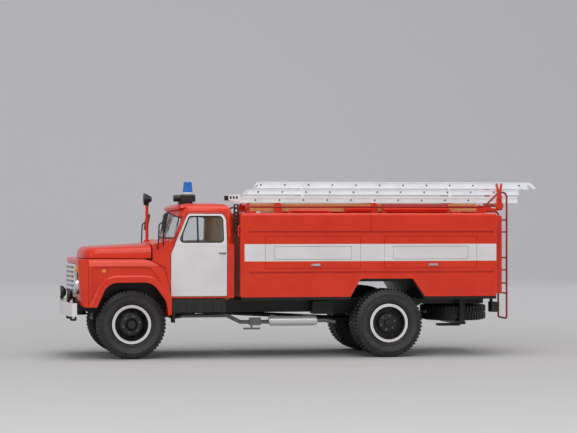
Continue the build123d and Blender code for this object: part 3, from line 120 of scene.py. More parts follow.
lens = bpy.data.cameras.new("long_lens")
lens.sensor_fit = "HORIZONTAL"
lens.sensor_width = SENSOR_WIDTH
lens.lens = FOCAL_PIXELS * SENSOR_WIDTH / PICTURE_WIDTH
lens.clip_start, lens.clip_end = NEAREST, FARTHEST
camera = place_object("camera", lens)
level = math.cos(TILT_UP)
ahead = Vector((-math.sin(HEADING) * level, -math.cos(HEADING) * level, math.sin(TILT_UP)))
camera.location = at(*CAMERA_PLACE)
camera.rotation_euler = look_along(ahead)
bpy.context.scene.camera = camera
print("lens", round(lens.lens, 1), "mm")

# %% [markdown]
# ## Helpers for meshes, colours and nodes
# A mesh can be built by hand, point by point, and every piece needs the same few steps after that.
# Colours are read from the picture as screen codes, but shaders count in linear light, so one
# function turns the first into the second. One more adds a shader node with its settings, values
# and links, which keeps each finish to a few lines.


# %% Meshes
def mesh_object(name, bm, smooth=None):
    # Smooth shading breaks at edges sharper than the angle, as a moulded edge does.
    data = bpy.data.meshes.new(name)
    bm.to_mesh(data)
    bm.free()
    obj = place_object(name, data)
    if smooth is not None:
        data.shade_smooth()
        mod = obj.modifiers.new("by_angle", "EDGE_SPLIT")
        mod.split_angle = math.radians(smooth)
    return obj


print("mesh helper ready")


# %% Colours and nodes
def linear(code):
    parts = [int(code[i:i + 2], 16) / 255 for i in (1, 3, 5)]
    return [p / 12.92 if p <= 0.04045 else ((p + 0.055) / 1.055) ** 2.4 for p in parts] + [1.0]


def add_node(tree, kind, links=(), values=(), **settings):
    node = tree.nodes.new(kind)
    for key, value in settings.items():
        setattr(node, key, value)
    for key, value in dict(values).items():
        node.inputs[key].default_value = value
    for key, source in dict(links).items():
        tree.links.new(source, node.inputs[key])
    return node


def start_material(name):
    material = bpy.data.materials.new(name)
    material.use_nodes = True
    tree = material.node_tree
    return material, tree, tree.nodes["Principled BSDF"]


print("middle grey in linear light", round(linear("#808080")[0], 3))

# %% [markdown]
# ## The paper sweep
# Product pictures are taken on a roll of paper that runs down a wall and out over a table, so there
# is no line between the two. It is one bent sheet here: floor, a wide curve, then a wall. The paper
# gets lighter away from the model, which stands in for the fall of the lamps. The sheet is marked
# as stage, because it is no part of the model.

# %% Sweep paper
PAPER_TONES, PAPER_FAR = ("#AEADAD", "#B5B4B4"), "#D8D7DA"
PAPER_GRAIN, PAPER_DETAIL, PAPER_ROUGH = 240.0, 4.0, 0.85
FADE_FROM, FADE_TO = 0.12, 0.75

sweep_mat, tree, shader = start_material("seamless_paper")
grain = add_node(tree, "ShaderNodeTexNoise",
                 values={"Scale": PAPER_GRAIN, "Detail": PAPER_DETAIL})
tone = add_node(tree, "ShaderNodeMix", data_type="RGBA", links={"Factor": grain.outputs["Fac"]},
                values={"A": linear(PAPER_TONES[0]), "B": linear(PAPER_TONES[1])})
place = add_node(tree, "ShaderNodeTexCoord")
reach = add_node(tree, "ShaderNodeVectorMath", operation="LENGTH",
                 links={"Vector": place.outputs["Object"]})
far = add_node(tree, "ShaderNodeMapRange", links={"Value": reach.outputs["Value"]},
               values={"From Min": FADE_FROM, "From Max": FADE_TO})
lift = add_node(tree, "ShaderNodeMix", data_type="RGBA", values={"B": linear(PAPER_FAR)},
                links={"Factor": far.outputs["Result"], "A": tone.outputs["Result"]})
tree.links.new(lift.outputs["Result"], shader.inputs["Base Color"])
shader.inputs["Roughness"].default_value = PAPER_ROUGH
print("paper nodes", len(tree.nodes))

# %% Sweep sheet
# In metres: front and back of the floor, radius of the curve, top of the wall, half the width.
FLOOR_FRONT, FLOOR_BACK, CURVE_R, WALL_TOP, SWEEP_HALF = 1.6, -0.9, 0.7, 2.4, 2.6
CURVE_STEPS = 12

bm = bmesh.new()
profile = [(FLOOR_FRONT, 0.0), (FLOOR_BACK, 0.0)]
for step in range(1, CURVE_STEPS + 1):
    turn = math.radians(90 * step / CURVE_STEPS)
    profile.append((FLOOR_BACK - CURVE_R * math.sin(turn), CURVE_R * (1 - math.cos(turn))))
profile.append((FLOOR_BACK - CURVE_R, WALL_TOP))
rows = []
for y, z in profile:
    rows.append([bm.verts.new((x, y, z)) for x in (-SWEEP_HALF, SWEEP_HALF)])
for a, b in zip(rows, rows[1:]):
    bm.faces.new((a[0], a[1], b[1], b[0]))
sweep = mesh_object("paper_sweep", bm, smooth=60)
sweep.data.materials.append(sweep_mat)
sweep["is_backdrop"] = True
print("sweep", len(profile), "rows")

# %% [markdown]
# ## The lamps
# The shadows in the picture are faint and wide, so the lamps were large and close, as in a light
# tent. Square area lamps do the same: one above, one on the camera's side, and a weak one at each
# end. A pale room fills what they leave, and the Standard view keeps colours as they were mixed.

# %% Lamps
# Name, place in metres, size, watts.
LAMPS = [
    ("top_bank", (0.00, 0.10, 1.05), 0.9, 5.8),
    ("side_bank", (0.20, 1.00, 0.75), 0.9, 6.2),
    ("front_fill", (1.05, 0.45, 0.40), 0.7, 2.0),
    ("tail_fill", (-1.05, 0.30, 0.55), 0.7, 2.4),
]
LAMP_AIM = Vector((0.0, 0.0, 0.03))
ROOM_TONE, ROOM_STRENGTH = "#DADBDD", 0.55

for name, place, size, watts in LAMPS:
    light = bpy.data.lights.new(name, "AREA")
    light.shape = "SQUARE"
    light.size = size
    light.energy = watts
    lamp = place_object(name, light)
    lamp.location = place
    lamp.rotation_euler = look_along(LAMP_AIM - Vector(place))
world = bpy.data.worlds.new("room")
bpy.context.scene.world = world
world.use_nodes = True
room = world.node_tree.nodes["Background"]
room.inputs["Color"].default_value = linear(ROOM_TONE)
room.inputs["Strength"].default_value = ROOM_STRENGTH
bpy.context.scene.view_settings.view_transform = "Standard"
print("lamps", len(LAMPS))

# %% [markdown]
# ## Patterns for the finishes
# No surface is perfectly even: enamel pools a little, mouldings have a grain. Such patterns could
# be painted pictures, but worked-out noise has no seams and stays sharp at any distance. Its size
# is given in millimetres and it is read from the object's own coordinates, so it stays put when a
# wheel turns.

# %% Patterns in millimetres
# Noise seldom goes near 0 or 1, so the middle of its range is stretched.
TONE_SPREAD, ROUGH_SPREAD = (0.35, 0.65), (0.3, 0.7)


def pattern(tree, size_mm, detail=2.0):
    place = add_node(tree, "ShaderNodeTexCoord")
    return add_node(tree, "ShaderNodeTexNoise", links={"Vector": place.outputs["Object"]},
                    values={"Scale": 1.0 / (size_mm * MM), "Detail": detail, "Roughness": 0.5})


def two_tone(tree, shader, factor, dark, light):
    ramp = add_node(tree, "ShaderNodeMapRange", links={"Value": factor},
                    values={"From Min": TONE_SPREAD[0], "From Max": TONE_SPREAD[1]})
    mix = add_node(tree, "ShaderNodeMix", data_type="RGBA",
                   links={"Factor": ramp.outputs["Result"]},
                   values={"A": linear(dark), "B": linear(light)})
    tree.links.new(mix.outputs["Result"], shader.inputs["Base Color"])


def rough_range(tree, shader, factor, low, high):
    span = add_node(tree, "ShaderNodeMapRange", links={"Value": factor},
                    values={"From Min": ROUGH_SPREAD[0], "From Max": ROUGH_SPREAD[1],
                            "To Min": low, "To Max": high})
    tree.links.new(span.outputs["Result"], shader.inputs["Roughness"])


def bumps(tree, shader, factor, depth_mm):
    bump = add_node(tree, "ShaderNodeBump", links={"Height": factor},
                    values={"Distance": depth_mm * MM, "Strength": 1.0})
    tree.links.new(bump.outputs["Normal"], shader.inputs["Normal"])


finish = {}
print("pattern tools ready")

# %% [markdown]
# ## Paint, plastic, rubber and metal
# The model is sprayed with enamel, its chassis and wheels are black mouldings, the tyres are soft
# rubber, and lamps are tinted plastic. All of these are one kind of material with other numbers, so
# a table holds them: two close tones, a small range of roughness and a very shallow grain. Paint,
# varnish and most lenses have a clear coat on top.

# %% Finish table
# Dark, light, pattern mm, roughness range, bump pattern mm, bump depth mm, metal, coat.
FINISHES = {
    "gloss_red_enamel": ("#CC2D12", "#D43316", 9.0, (0.27, 0.33), 0.5, 0.002, 0.0, 0.25),
    # darker red for the roof rails and the suction hose: painted shade from the ladders above them
    "deep_red_enamel": ("#8A1A14", "#981F18", 6.0, (0.30, 0.36), 0.5, 0.002, 0.0, 0.30),
    "gloss_white_enamel": ("#D2CECF", "#DAD7D7", 8.0, (0.28, 0.36), 0.5, 0.003, 0.0, 0.35),
    "satin_black_moulding": ("#121112", "#1A1819", 3.0, (0.36, 0.46), 0.35, 0.010, 0.0, 0.0),
    "black_rubber": ("#161516", "#1F1D1E", 1.5, (0.50, 0.62), 0.3, 0.008, 0.0, 0.0),
    "tyre_rubber": ("#1B191B", "#282528", 2.0, (0.44, 0.58), 0.3, 0.012, 0.0, 0.0),
    "dull_steel": ("#6E6C6E", "#7E7C7E", 3.0, (0.38, 0.48), 0.25, 0.006, 0.70, 0.0),
    # lighter rubber for the tyre ribs: painted highlight on their raised edges
    "worn_rubber": ("#3E3B3E", "#4A474A", 2.0, (0.48, 0.60), 0.3, 0.010, 0.0, 0.0),
    "dark_steel": ("#545254", "#626062", 2.0, (0.30, 0.40), 0.25, 0.004, 0.40, 0.0),
    "ladder_silver_paint": ("#E2E8EC", "#EAF0F4", 4.0, (0.28, 0.36), 0.3, 0.003, 0.0, 0.2),
    "bright_plating": ("#CFD0D2", "#DFE0E2", 3.0, (0.06, 0.12), 0.4, 0.001, 1.0, 0.0),
    "amber_lens": ("#D08A2C", "#E09A3C", 1.0, (0.12, 0.18), 0.6, 0.008, 0.0, 0.6),
    "red_lens": ("#9E1210", "#B41A16", 1.0, (0.12, 0.18), 0.6, 0.008, 0.0, 0.6),
    "blue_lens": ("#005CB4", "#0272D0", 1.0, (0.26, 0.34), 0.6, 0.006, 0.0, 0.0),
    "smoked_lens": ("#2C2C2E", "#3A3A3D", 0.8, (0.10, 0.16), 0.35, 0.020, 0.0, 0.6),
    "fluted_lens": ("#D9DBDA", "#E9EAE9", 0.8, (0.08, 0.14), 0.35, 0.030, 0.0, 0.8),
    "tan_moulding": ("#B4822C", "#C4923A", 2.0, (0.45, 0.60), 0.4, 0.010, 0.0, 0.0),
    "varnished_wood": ("#B8804E", "#C8905E", 1.5, (0.35, 0.50), 0.5, 0.010, 0.0, 0.1),
}
COAT_ROUGH = 0.06
SHINE_COATED, SHINE_BARE = 0.25, 0.5

for name, (dark, light, size, rough, grain_mm, depth, metal, coat) in FINISHES.items():
    material, tree, shader = start_material(name)
    broad = pattern(tree, size, detail=3.0)
    fine = pattern(tree, grain_mm)
    two_tone(tree, shader, broad.outputs["Fac"], dark, light)
    rough_range(tree, shader, broad.outputs["Fac"], *rough)
    bumps(tree, shader, fine.outputs["Fac"], depth)
    shader.inputs["Metallic"].default_value = metal
    shader.inputs["Coat Weight"].default_value = coat
    shader.inputs["Coat Roughness"].default_value = COAT_ROUGH
    shader.inputs["Specular IOR Level"].default_value = SHINE_COATED if coat else SHINE_BARE
    finish[name] = material
print("finishes from the table", len(FINISHES))

# %% [markdown]
# ## Clear plastic
# The panes are clear styrene, moulded as one insert. Real styrene bends light more than this does,
# but the cab in the picture is seen clearly through its windows, and a low index keeps the thick
# insert from bending and mirroring the view. Faint smears keep the surface from looking empty.

# %% Clear plastic
SMEAR_MM, SMEAR_ROUGH = 4.0, (0.0, 0.03)
PANE_TINT, PANE_INDEX = "#F6F9F9", 1.18

glass, tree, shader = start_material("clear_styrene")
smear = pattern(tree, SMEAR_MM, detail=3.0)
rough_range(tree, shader, smear.outputs["Fac"], *SMEAR_ROUGH)
shader.inputs["Base Color"].default_value = linear(PANE_TINT)
shader.inputs["Transmission Weight"].default_value = 1.0
shader.inputs["IOR"].default_value = PANE_INDEX
finish["clear_styrene"] = glass
print("clear plastic index", PANE_INDEX)

# %% [markdown]
# ## Exhaust
# The silencer drum is bright, and the pipes before and behind it are dull. Two materials on one
# mesh would need a cut between them. It is simpler to let the shader compare the place along the
# exhaust with the drum's middle and choose the tone from that.

# %% Exhaust
SILENCER_MIDDLE, SILENCER_HALF = -54.7, 8.3
PIPE_TONE, SILENCER_TONE = "#6E6C6E", "#D8D8DA"
STREAK_MM, STREAK_ROUGH, STREAK_DEPTH, EXHAUST_METAL = 2.5, (0.28, 0.36), 0.0015, 0.5

material, tree, shader = start_material("aluminised_exhaust")
place = add_node(tree, "ShaderNodeTexCoord")
along = add_node(tree, "ShaderNodeSeparateXYZ", links={"Vector": place.outputs["Object"]})
on_drum = add_node(tree, "ShaderNodeMath", operation="COMPARE", links={0: along.outputs["X"]},
                   values={1: at(SILENCER_MIDDLE, 0, 0).x, 2: SILENCER_HALF * MM})
two_tone(tree, shader, on_drum.outputs["Value"], PIPE_TONE, SILENCER_TONE)
streaks = pattern(tree, STREAK_MM, detail=4.0)
rough_range(tree, shader, streaks.outputs["Fac"], *STREAK_ROUGH)
bumps(tree, shader, streaks.outputs["Fac"], STREAK_DEPTH)
shader.inputs["Metallic"].default_value = EXHAUST_METAL
finish["aluminised_exhaust"] = material
print("finishes", len(finish))

# %% [markdown]
# ## Dressing the imported solids
# The record says which of its materials each node has, such as red paint or chrome. A short list
# turns those into finishes, so the nodes need not be named one by one. Only two differ from what
# their slot says: the roof rails get a darker red, painted shade from the ladders above them, and the
# exhaust has two tones.

# %% Which node wears which finish
SLOT_FINISH = {
    "red_paint": "gloss_red_enamel", "white_paint": "gloss_white_enamel",
    "black_plastic": "satin_black_moulding", "tyre": "tyre_rubber",
    "silver_paint": "ladder_silver_paint", "chrome": "bright_plating",
    "amber_lens": "amber_lens", "clear_glass": "clear_styrene", "blue_lens": "blue_lens",
    "tan_plastic": "tan_moulding", "wood": "varnished_wood",
}
slot_of = {row["node"]: row["material_slot"] for row in frame["record"]["subparts"]}
for name, obj in nodes.items():
    obj.data.materials.clear()
    obj.data.materials.append(finish[SLOT_FINISH[slot_of[name]]])
nodes["roof_rails"].data.materials[0] = finish["deep_red_enamel"]
nodes["exhaust"].data.materials[0] = finish["aluminised_exhaust"]
print("dressed", len(nodes))

# %% [markdown]
# ## Small makers' tools
# The pieces still to come are the thin ones: rubber seals, lug blocks, nuts, lenses. On the real
# model they are printed, moulded or pushed in. Three shapes cover most of them: a straight prism
# from a ring of points, a turned piece, and a bent bead. Writing each once keeps the later cells
# short.


# %% Prism and turned piece
def circle(centre, axis, radius, sides):
    u = axis.orthogonal().normalized()
    v = axis.cross(u)
    angles = [2 * math.pi * i / sides for i in range(sides)]
    return [centre + radius * (math.cos(a) * u + math.sin(a) * v) for a in angles]


def add_prism(bm, ring, shift):
    low = [bm.verts.new(p) for p in ring]
    high = [bm.verts.new(p + shift) for p in ring]
    bm.faces.new(list(reversed(low)))
    bm.faces.new(high)
    for i in range(len(ring)):
        j = (i + 1) % len(ring)
        bm.faces.new((low[i], low[j], high[j], high[i]))


def add_turned(bm, centre, axis, rows, sides, closed=True):
    # Rows of radius and place along the axis, in millimetres. A closed one is a ring.
    rings = []
    for radius, along in rows:
        spots = circle(centre + axis * along * MM, axis, radius * MM, sides)
        rings.append([bm.verts.new(p) for p in spots])
    pairs = list(zip(rings, rings[1:])) + ([(rings[-1], rings[0])] if closed else [])
    for a, b in pairs:
        for i in range(sides):
            j = (i + 1) % sides
            bm.faces.new((a[i], a[j], b[j], b[i]))
    if not closed:
        bm.faces.new(list(reversed(rings[0])))
        bm.faces.new(rings[-1])


print("shape tools ready")

# %% Finished piece, bead, eased edges and sheet
BEAD_ROUNDING = 3


def finished(name, bm, body, coat, smooth=35):
    bmesh.ops.recalc_face_normals(bm, faces=bm.faces)
    obj = mesh_object(name, bm, smooth=smooth)
    obj.data.materials.append(finish[coat])
    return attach(obj, body)


def bead(name, points, radius_mm, body, coat, closed=True):
    data = bpy.data.curves.new(name, "CURVE")
    data.dimensions = "3D"
    data.bevel_depth = radius_mm * MM
    data.bevel_resolution = BEAD_ROUNDING
    data.use_fill_caps = True
    line = data.splines.new("POLY")
    line.points.add(len(points) - 1)
    for spot, place in zip(line.points, points):
        spot.co = (*place, 1.0)
    line.use_cyclic_u = closed
    obj = place_object(name, data)
    data.materials.append(finish[coat])
    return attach(obj, body)


def ease(obj, width_mm, segments):
    bevel = obj.modifiers.new("ease", "BEVEL")
    bevel.width, bevel.segments = width_mm * MM, segments


def thicken(obj, thick_mm, offset):
    sheet = obj.modifiers.new("sheet", "SOLIDIFY")
    sheet.thickness, sheet.offset = thick_mm * MM, offset


print("piece tools ready")

# %% [markdown]
# ## Tyres
# A truck tyre of this age has a crossed block tread: two rows of lugs, half a pitch apart, that run
# out over the shoulder, and moulded rings and ribs on the side wall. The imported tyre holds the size
# with a few broad lugs. Here each tyre is turned from a side-wall outline and gets its small lugs
# one by one, because real edges catch the light where a bump pattern would stay flat.

# %% Tyre outline and lugs
# Radius and place along the axle, from the bead to the tread.
HALF_WALL = [
    (6.62, 1.70), (6.80, 2.20), (7.10, 2.42), (7.30, 2.42), (7.38, 2.55), (7.60, 2.58),
    (7.70, 2.48), (8.20, 2.60), (9.30, 2.70), (9.45, 2.78), (9.65, 2.78), (9.75, 2.66),
    (10.00, 2.58), (10.50, 2.44), (10.95, 2.22), (11.08, 1.95),
]
WALL_SIDES = 84
LUG_OUTLINE = [
    (11.00, 0.15), (11.42, 0.15), (11.45, 0.25), (11.45, 2.10), (11.30, 2.34), (10.35, 2.62),
    (10.25, 2.50), (10.80, 2.20),
]
LUG_ROW, LUG_SHARE = 56, 0.58
RIB_OUTLINE = [(7.80, 2.45), (9.25, 2.62), (9.18, 2.80), (7.88, 2.68)]
RIB_COUNT, RIB_WIDTH = 84, 0.22


def add_block(bm, centre, axis, turn, angle, outline):
    # An outline of radius and place along the axle, swept through a small angle.
    ends = []
    for edge in (-0.5, 0.5):
        out = Vector((math.sin(turn + edge * angle), 0, -math.cos(turn + edge * angle)))
        ends.append([bm.verts.new(centre + (out * r + axis * y) * MM) for r, y in outline])
    a, b = ends
    bm.faces.new(a)
    bm.faces.new(list(reversed(b)))
    for i in range(len(a)):
        j = (i + 1) % len(a)
        bm.faces.new((a[i], b[i], b[j], a[j]))


def add_tyre(bm, centre):
    rows = HALF_WALL + [(r, -y) for r, y in reversed(HALF_WALL)]
    add_turned(bm, centre, LEFT, rows, WALL_SIDES)
    pitch = 2 * math.pi / LUG_ROW
    for side, start in ((1, 0.0), (-1, pitch / 2)):
        for lug in range(LUG_ROW):
            turn = start + lug * pitch
            add_block(bm, centre, LEFT * side, turn, pitch * LUG_SHARE, LUG_OUTLINE)


def add_ribs(bm, centre):
    angle = RIB_WIDTH / RIB_OUTLINE[1][0]
    for side in (-1, 1):
        for rib in range(RIB_COUNT):
            turn = 2 * math.pi * rib / RIB_COUNT
            add_block(bm, centre, LEFT * side, turn, angle, RIB_OUTLINE)


print("lugs on a tyre", 2 * LUG_ROW, "ribs", 2 * RIB_COUNT)

# %% [markdown]
# ## Tyres on the wheels
# Front wheels are single and rear ones are twins. Each side's rubber is one piece that rides on its
# wheel and stands for the imported tyre. The ribs are a piece of their own in a lighter rubber: a
# painted highlight, so that they read as raised lines.

# %% Put tyres on the wheels
TWIN_HALF = 3.25
WHEELS = [
    ("front_wheel_left", "front_tyre_left", (0.0,)),
    ("front_wheel_right", "front_tyre_right", (0.0,)),
    ("rear_wheels_left", "rear_tyres_left", (-TWIN_HALF, TWIN_HALF)),
    ("rear_wheels_right", "rear_tyres_right", (-TWIN_HALF, TWIN_HALF)),
]
for body, node, offsets in WHEELS:
    centres = [hinges[body] + Vector((0, offset * MM, 0)) for offset in offsets]
    bm = bmesh.new()
    for centre in centres:
        add_tyre(bm, centre)
    piece = finished(node + "_rubber", bm, body, "tyre_rubber", smooth=30)
    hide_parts(node)
    bm = bmesh.new()
    for centre in centres:
        add_ribs(bm, centre)
    # ribs in a lighter rubber: painted highlight
    finished(node + "_ribs", bm, body, "worn_rubber", smooth=20)
print("tyres", sum(len(row[2]) for row in WHEELS))

# %% [markdown]
# ## Spare wheel
# The spare lies flat under the tail, held by a bar. It is the same tyre, turned on its side, with
# its pressed disc showing from below. It is made by the same function and laid over, so the two
# can't drift apart.

# %% Spare wheel
SPARE_DISC = [(1.2, 0.3), (4.6, 0.8), (6.62, 0.8), (6.62, -0.2), (4.8, -0.2), (1.2, -0.7)]
DISC_SIDES = 48

low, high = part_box("spare_wheel")
spare_centre = (low + high) / 2
origin = Vector((0, 0, 0))
bm = bmesh.new()
add_tyre(bm, origin)
add_turned(bm, origin, LEFT, SPARE_DISC, DISC_SIDES)
laid_flat = Matrix.Rotation(math.pi / 2, 3, "X")
bmesh.ops.rotate(bm, verts=bm.verts, cent=origin, matrix=laid_flat)
bmesh.ops.translate(bm, verts=bm.verts, vec=spare_centre)
spare = finished("spare_wheel_rubber", bm, "vehicle", "tyre_rubber", smooth=30)
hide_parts("spare_wheel")
print("spare at", [round(v / MM, 1) for v in spare_centre])

# %% [markdown]
# ## Wheel nuts
# Six nuts hold each disc, front and rear, and a ring of them is what the eye reads as a truck
# wheel. The rear ones stand on the deep hub, the front ones round the dome. Each is a six-sided
# prism with its edges eased by a bevel.

# %% Wheel nuts
# Body, side of the model, radius of the ring of nuts, place of their seat along the axle.
NUTS = [
    ("front_wheel_left", 1, 2.75, 1.38), ("front_wheel_right", -1, 2.75, 1.38),
    ("rear_wheels_left", 1, 2.35, 3.42), ("rear_wheels_right", -1, 2.35, 3.42),
]
NUT_COUNT, NUT_SIDES, NUT_R, NUT_HEIGHT, NUT_EASE = 6, 6, 0.42, 0.42, 0.06

for body, side, radius, face in NUTS:
    axis = LEFT * side
    bm = bmesh.new()
    for spot in circle(hinges[body] + axis * face * MM, axis, radius * MM, NUT_COUNT):
        add_prism(bm, circle(spot, axis, NUT_R * MM, NUT_SIDES), axis * NUT_HEIGHT * MM)
    nuts = finished(body + "_nuts", bm, body, "dark_steel", smooth=20)
    ease(nuts, NUT_EASE, 2)
print("nuts", NUT_COUNT * len(NUTS))

# %% [markdown]
# ## Brake drums
# Behind the slots of a front disc one sees the dark brake drum, never daylight. A short turned ring
# inside the rim closes the view, and it turns with the wheel as a drum does.

# %% Brake drums
DRUM_RING = [(2.05, -2.1), (5.2, -2.1), (5.2, -1.5), (4.6, -1.3), (2.05, -1.3)]
DRUM_SIDES = 48

for side, tag in SIDES:
    bm = bmesh.new()
    add_turned(bm, hinges["front_wheel_" + tag], LEFT * side, DRUM_RING, DRUM_SIDES)
    finished("front_drum_" + tag, bm, "front_wheel_" + tag, "satin_black_moulding", smooth=30)
print("drums", len(SIDES))

# %% [markdown]
# ## Rim edges
# The white ring is painted on the rim's flat flange and stops just short of its inner edge, which
# stays black. A thin turned hoop over that edge gives the ring its true width.

# %% Rim edges
# Body, side of the model, place of the ring's face along the axle.
RIM_FACES = [
    ("front_wheel_left", 1, 2.40), ("front_wheel_right", -1, 2.40),
    ("rear_wheels_left", 1, 5.65), ("rear_wheels_right", -1, 5.65),
]
EDGE_INNER, EDGE_OUTER, EDGE_RISE, EDGE_SIDES = 5.28, 5.52, 0.06, 72

for body, side, face in RIM_FACES:
    bm = bmesh.new()
    rows = [
        (EDGE_INNER, face - EDGE_RISE), (EDGE_INNER, face + EDGE_RISE),
        (EDGE_OUTER, face + EDGE_RISE), (EDGE_OUTER, face - EDGE_RISE),
    ]
    add_turned(bm, hinges[body], LEFT * side, rows, EDGE_SIDES)
    finished(body + "_rim_edge", bm, body, "satin_black_moulding", smooth=30)
print("rim edges", len(RIM_FACES))

# %% [markdown]
# ## Lines that lie on the cab
# Seals, rails and levers follow the cab's surface, which leans and bends. Working out each point by
# hand would be slow and would go wrong when the cab changes. So a line is drawn flat, its corners
# are rounded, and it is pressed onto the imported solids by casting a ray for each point.


# %% Draw rounded outlines
def rounded(rows, steps=5):
    # Rows of across, up and corner radius, as a ring of flat points.
    ring = []
    for i, (a, b, bend) in enumerate(rows):
        here = Vector((a, b))
        back = (Vector(rows[i - 1][:2]) - here).normalized()
        ahead = (Vector(rows[(i + 1) % len(rows)][:2]) - here).normalized()
        half = back.angle(ahead) / 2
        reach = bend / math.tan(half)
        middle = here + (back + ahead).normalized() * (bend / math.sin(half))
        start, stop = here + back * reach - middle, here + ahead * reach - middle
        for step in range(steps + 1):
            way = start.lerp(stop, step / steps)
            ring.append(middle + way.normalized() * bend)
    return ring


def spread(ring, gap, closed=True):
    # Fill long straight runs with points, so that a bead can follow a curved surface.
    full = []
    for a, b in zip(ring, ring[1:] + ring[:1] if closed else ring[1:]):
        count = max(1, int((b - a).length / gap))
        full += [a.lerp(b, i / count) for i in range(count)]
    return full


print("outline tools ready")

# %% Press lines on a surface
# Where rays start, in millimetres: out from the cab's side, and ahead of the front axle.
RAY_OUT, RAY_AHEAD = 40, 5.0


def surface(*names):
    verts, faces = [], []
    for name in names:
        mesh = nodes[name].data
        base = len(verts)
        verts += [v.co.copy() for v in mesh.vertices]
        faces += [[base + i for i in p.vertices] for p in mesh.polygons]
    return BVHTree.FromPolygons(verts, faces)


def press(skin, start, way, lift_mm=0.0):
    spot = skin.ray_cast(start, way)[0]
    return spot - way * lift_mm * MM


def on_side(side, x, z, lift_mm=0.0):
    return press(cab_skin, at(x, side * RAY_OUT, z), Vector((0, -side, 0)), lift_mm)


def on_front(skin, y, z, lift_mm=0.0):
    return press(skin, at(RAY_AHEAD, y, z), Vector((-1, 0, 0)), lift_mm)


cab_skin = surface("cab_shell", "door_left", "door_right")
print("cab skin ready")

# %% [markdown]
# ## Door seals
# On the model the black rubber round each pane is printed on the glass edge; on the vehicle it is a
# moulded profile. A round bead laid on the metal just outside the opening gives the same dark line
# with a real edge. A thicker upright one is the post of the quarter-light.

# %% Door seals and quarter-light posts
# X, Z and corner radius.
DOOR_SEAL = [
    (-15.55, 38.70, 1.0), (-19.12, 47.20, 1.0), (-30.20, 47.20, 1.3), (-30.20, 38.70, 1.0),
]
SEAL_R, BEAD_GAP = 0.25, 0.8
POST_X, POST_ENDS, POST_R, POST_SINK = -21.8, (38.5, 47.4), 0.3, 0.25

for side, tag in SIDES:
    line = [on_side(side, x, z) for x, z in spread(rounded(DOOR_SEAL), BEAD_GAP)]
    bead("door_seal_" + tag, line, SEAL_R, "vehicle", "black_rubber")
    ends = [on_side(side, POST_X, z, -POST_SINK) for z in POST_ENDS]
    bead("quarter_post_" + tag, ends, POST_R, "vehicle", "black_rubber", closed=False)
print("door seals", len(SIDES))

# %% [markdown]
# ## Windscreen corners
# On the real cab the windscreen bends round the corners, and only a slim pillar is left before the
# door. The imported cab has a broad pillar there. Its own mesh stays as it is: a copy is cut back to
# the slim pillar by a boolean and stands for it.

# %% Cut the corners
# Opening seen from the side: X, Z, corner radius. Its rear edge runs beside the door.
CORNER_CUT = [(-14.3, 40.0, 0.8), (-17.0, 46.9, 0.9), (-4.0, 46.9, 0.1), (-4.0, 40.0, 0.1)]
CUT_FROM, CUT_DEPTH = 17.0, 9.0


def add_plate(bm, side, outline, inner, thick):
    # An upright plate beside the model: an outline of X and Z, made thick outwards.
    ring = [at(x, side * inner, z) for x, z in outline]
    add_prism(bm, ring, Vector((0, side * thick * MM, 0)))


bm = bmesh.new()
for side in (-1, 1):
    add_plate(bm, side, rounded(CORNER_CUT), CUT_FROM, CUT_DEPTH)
bmesh.ops.recalc_face_normals(bm, faces=bm.faces)
cutter = mesh_object("corner_cutter", bm)
bm = bmesh.new()
bm.from_mesh(nodes["cab_shell"].data)
shell = mesh_object("cab_shell_cut", bm)
cut = shell.modifiers.new("corners", "BOOLEAN")
cut.operation, cut.solver, cut.object = "DIFFERENCE", "EXACT", cutter
depsgraph = bpy.context.evaluated_depsgraph_get()
whole = bpy.data.meshes.new_from_object(shell.evaluated_get(depsgraph))
bpy.data.objects.remove(shell)
bpy.data.objects.remove(cutter)
bm = bmesh.new()
bm.from_mesh(whole)
shell = finished("cab_shell_cut", bm, "vehicle", "gloss_red_enamel", smooth=25)
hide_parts("cab_shell")
print("cab faces", len(shell.data.polygons))

# %% [markdown]
# ## Corner glass
# The real pane is one bent sheet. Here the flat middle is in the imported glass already, so each
# corner needs only its bent part. Rays from points round the corner find the outer skin of the
# packed cab, a sheet of faces is laid a little inside it, and a modifier gives it thickness.

# %% Corner glass
GLASS_LOW, GLASS_TOP, GLASS_ROWS, CORNER_STEPS = 39.8, 47.1, 9, 12
GLASS_SINK, GLASS_T = 0.3, 0.25
# Half width of the windscreen at its foot, and how much it narrows for each millimetre up.
SCREEN_HALF, SCREEN_FOOT, SCREEN_NARROWS = 19.25, 40.2, 0.12
CORNER_BACK = 0.2


def cut_edge(z):
    (x0, z0, _), (x1, z1, _) = CORNER_CUT[:2]
    return x0 + (x1 - x0) * (z - z0) / (z1 - z0)


def screen_edge(z):
    return SCREEN_HALF - SCREEN_NARROWS * (z - SCREEN_FOOT)


def corner_line(side, z, lift):
    # Points round the cab's corner at one height, from the windscreen to the slim pillar.
    middle = at(cut_edge(z) - CORNER_BACK, side * screen_edge(z), z)
    line = []
    for step in range(CORNER_STEPS + 1):
        turn = math.pi / 2 * step / CORNER_STEPS
        way = Vector((math.cos(turn), side * math.sin(turn), 0))
        line.append(press(cab_skin, middle + way * RAY_OUT * MM, -way, lift))
    return line


step_up = (GLASS_TOP - GLASS_LOW) / (GLASS_ROWS - 1)
for side, tag in SIDES:
    bm = bmesh.new()
    heights = [GLASS_LOW + step_up * i for i in range(GLASS_ROWS)]
    grid = [[bm.verts.new(p) for p in corner_line(side, z, -GLASS_SINK)] for z in heights]
    for a, b in zip(grid, grid[1:]):
        for i in range(CORNER_STEPS):
            bm.faces.new((a[i], a[i + 1], b[i + 1], b[i]))
    pane = finished("screen_corner_" + tag, bm, "vehicle", "clear_styrene", smooth=None)
    pane.data.shade_smooth()
    thicken(pane, GLASS_T, 0.0)
print("corner panes", len(SIDES))

# %% [markdown]
# ## Windscreen seal
# One rubber profile runs round the whole screen: along its foot, round the corner, up the slim
# pillar and back under the roof, which is a little higher in the middle. Half of it is drawn and
# pressed on the cab, then the other half in the same way, and the two are joined to one bead.

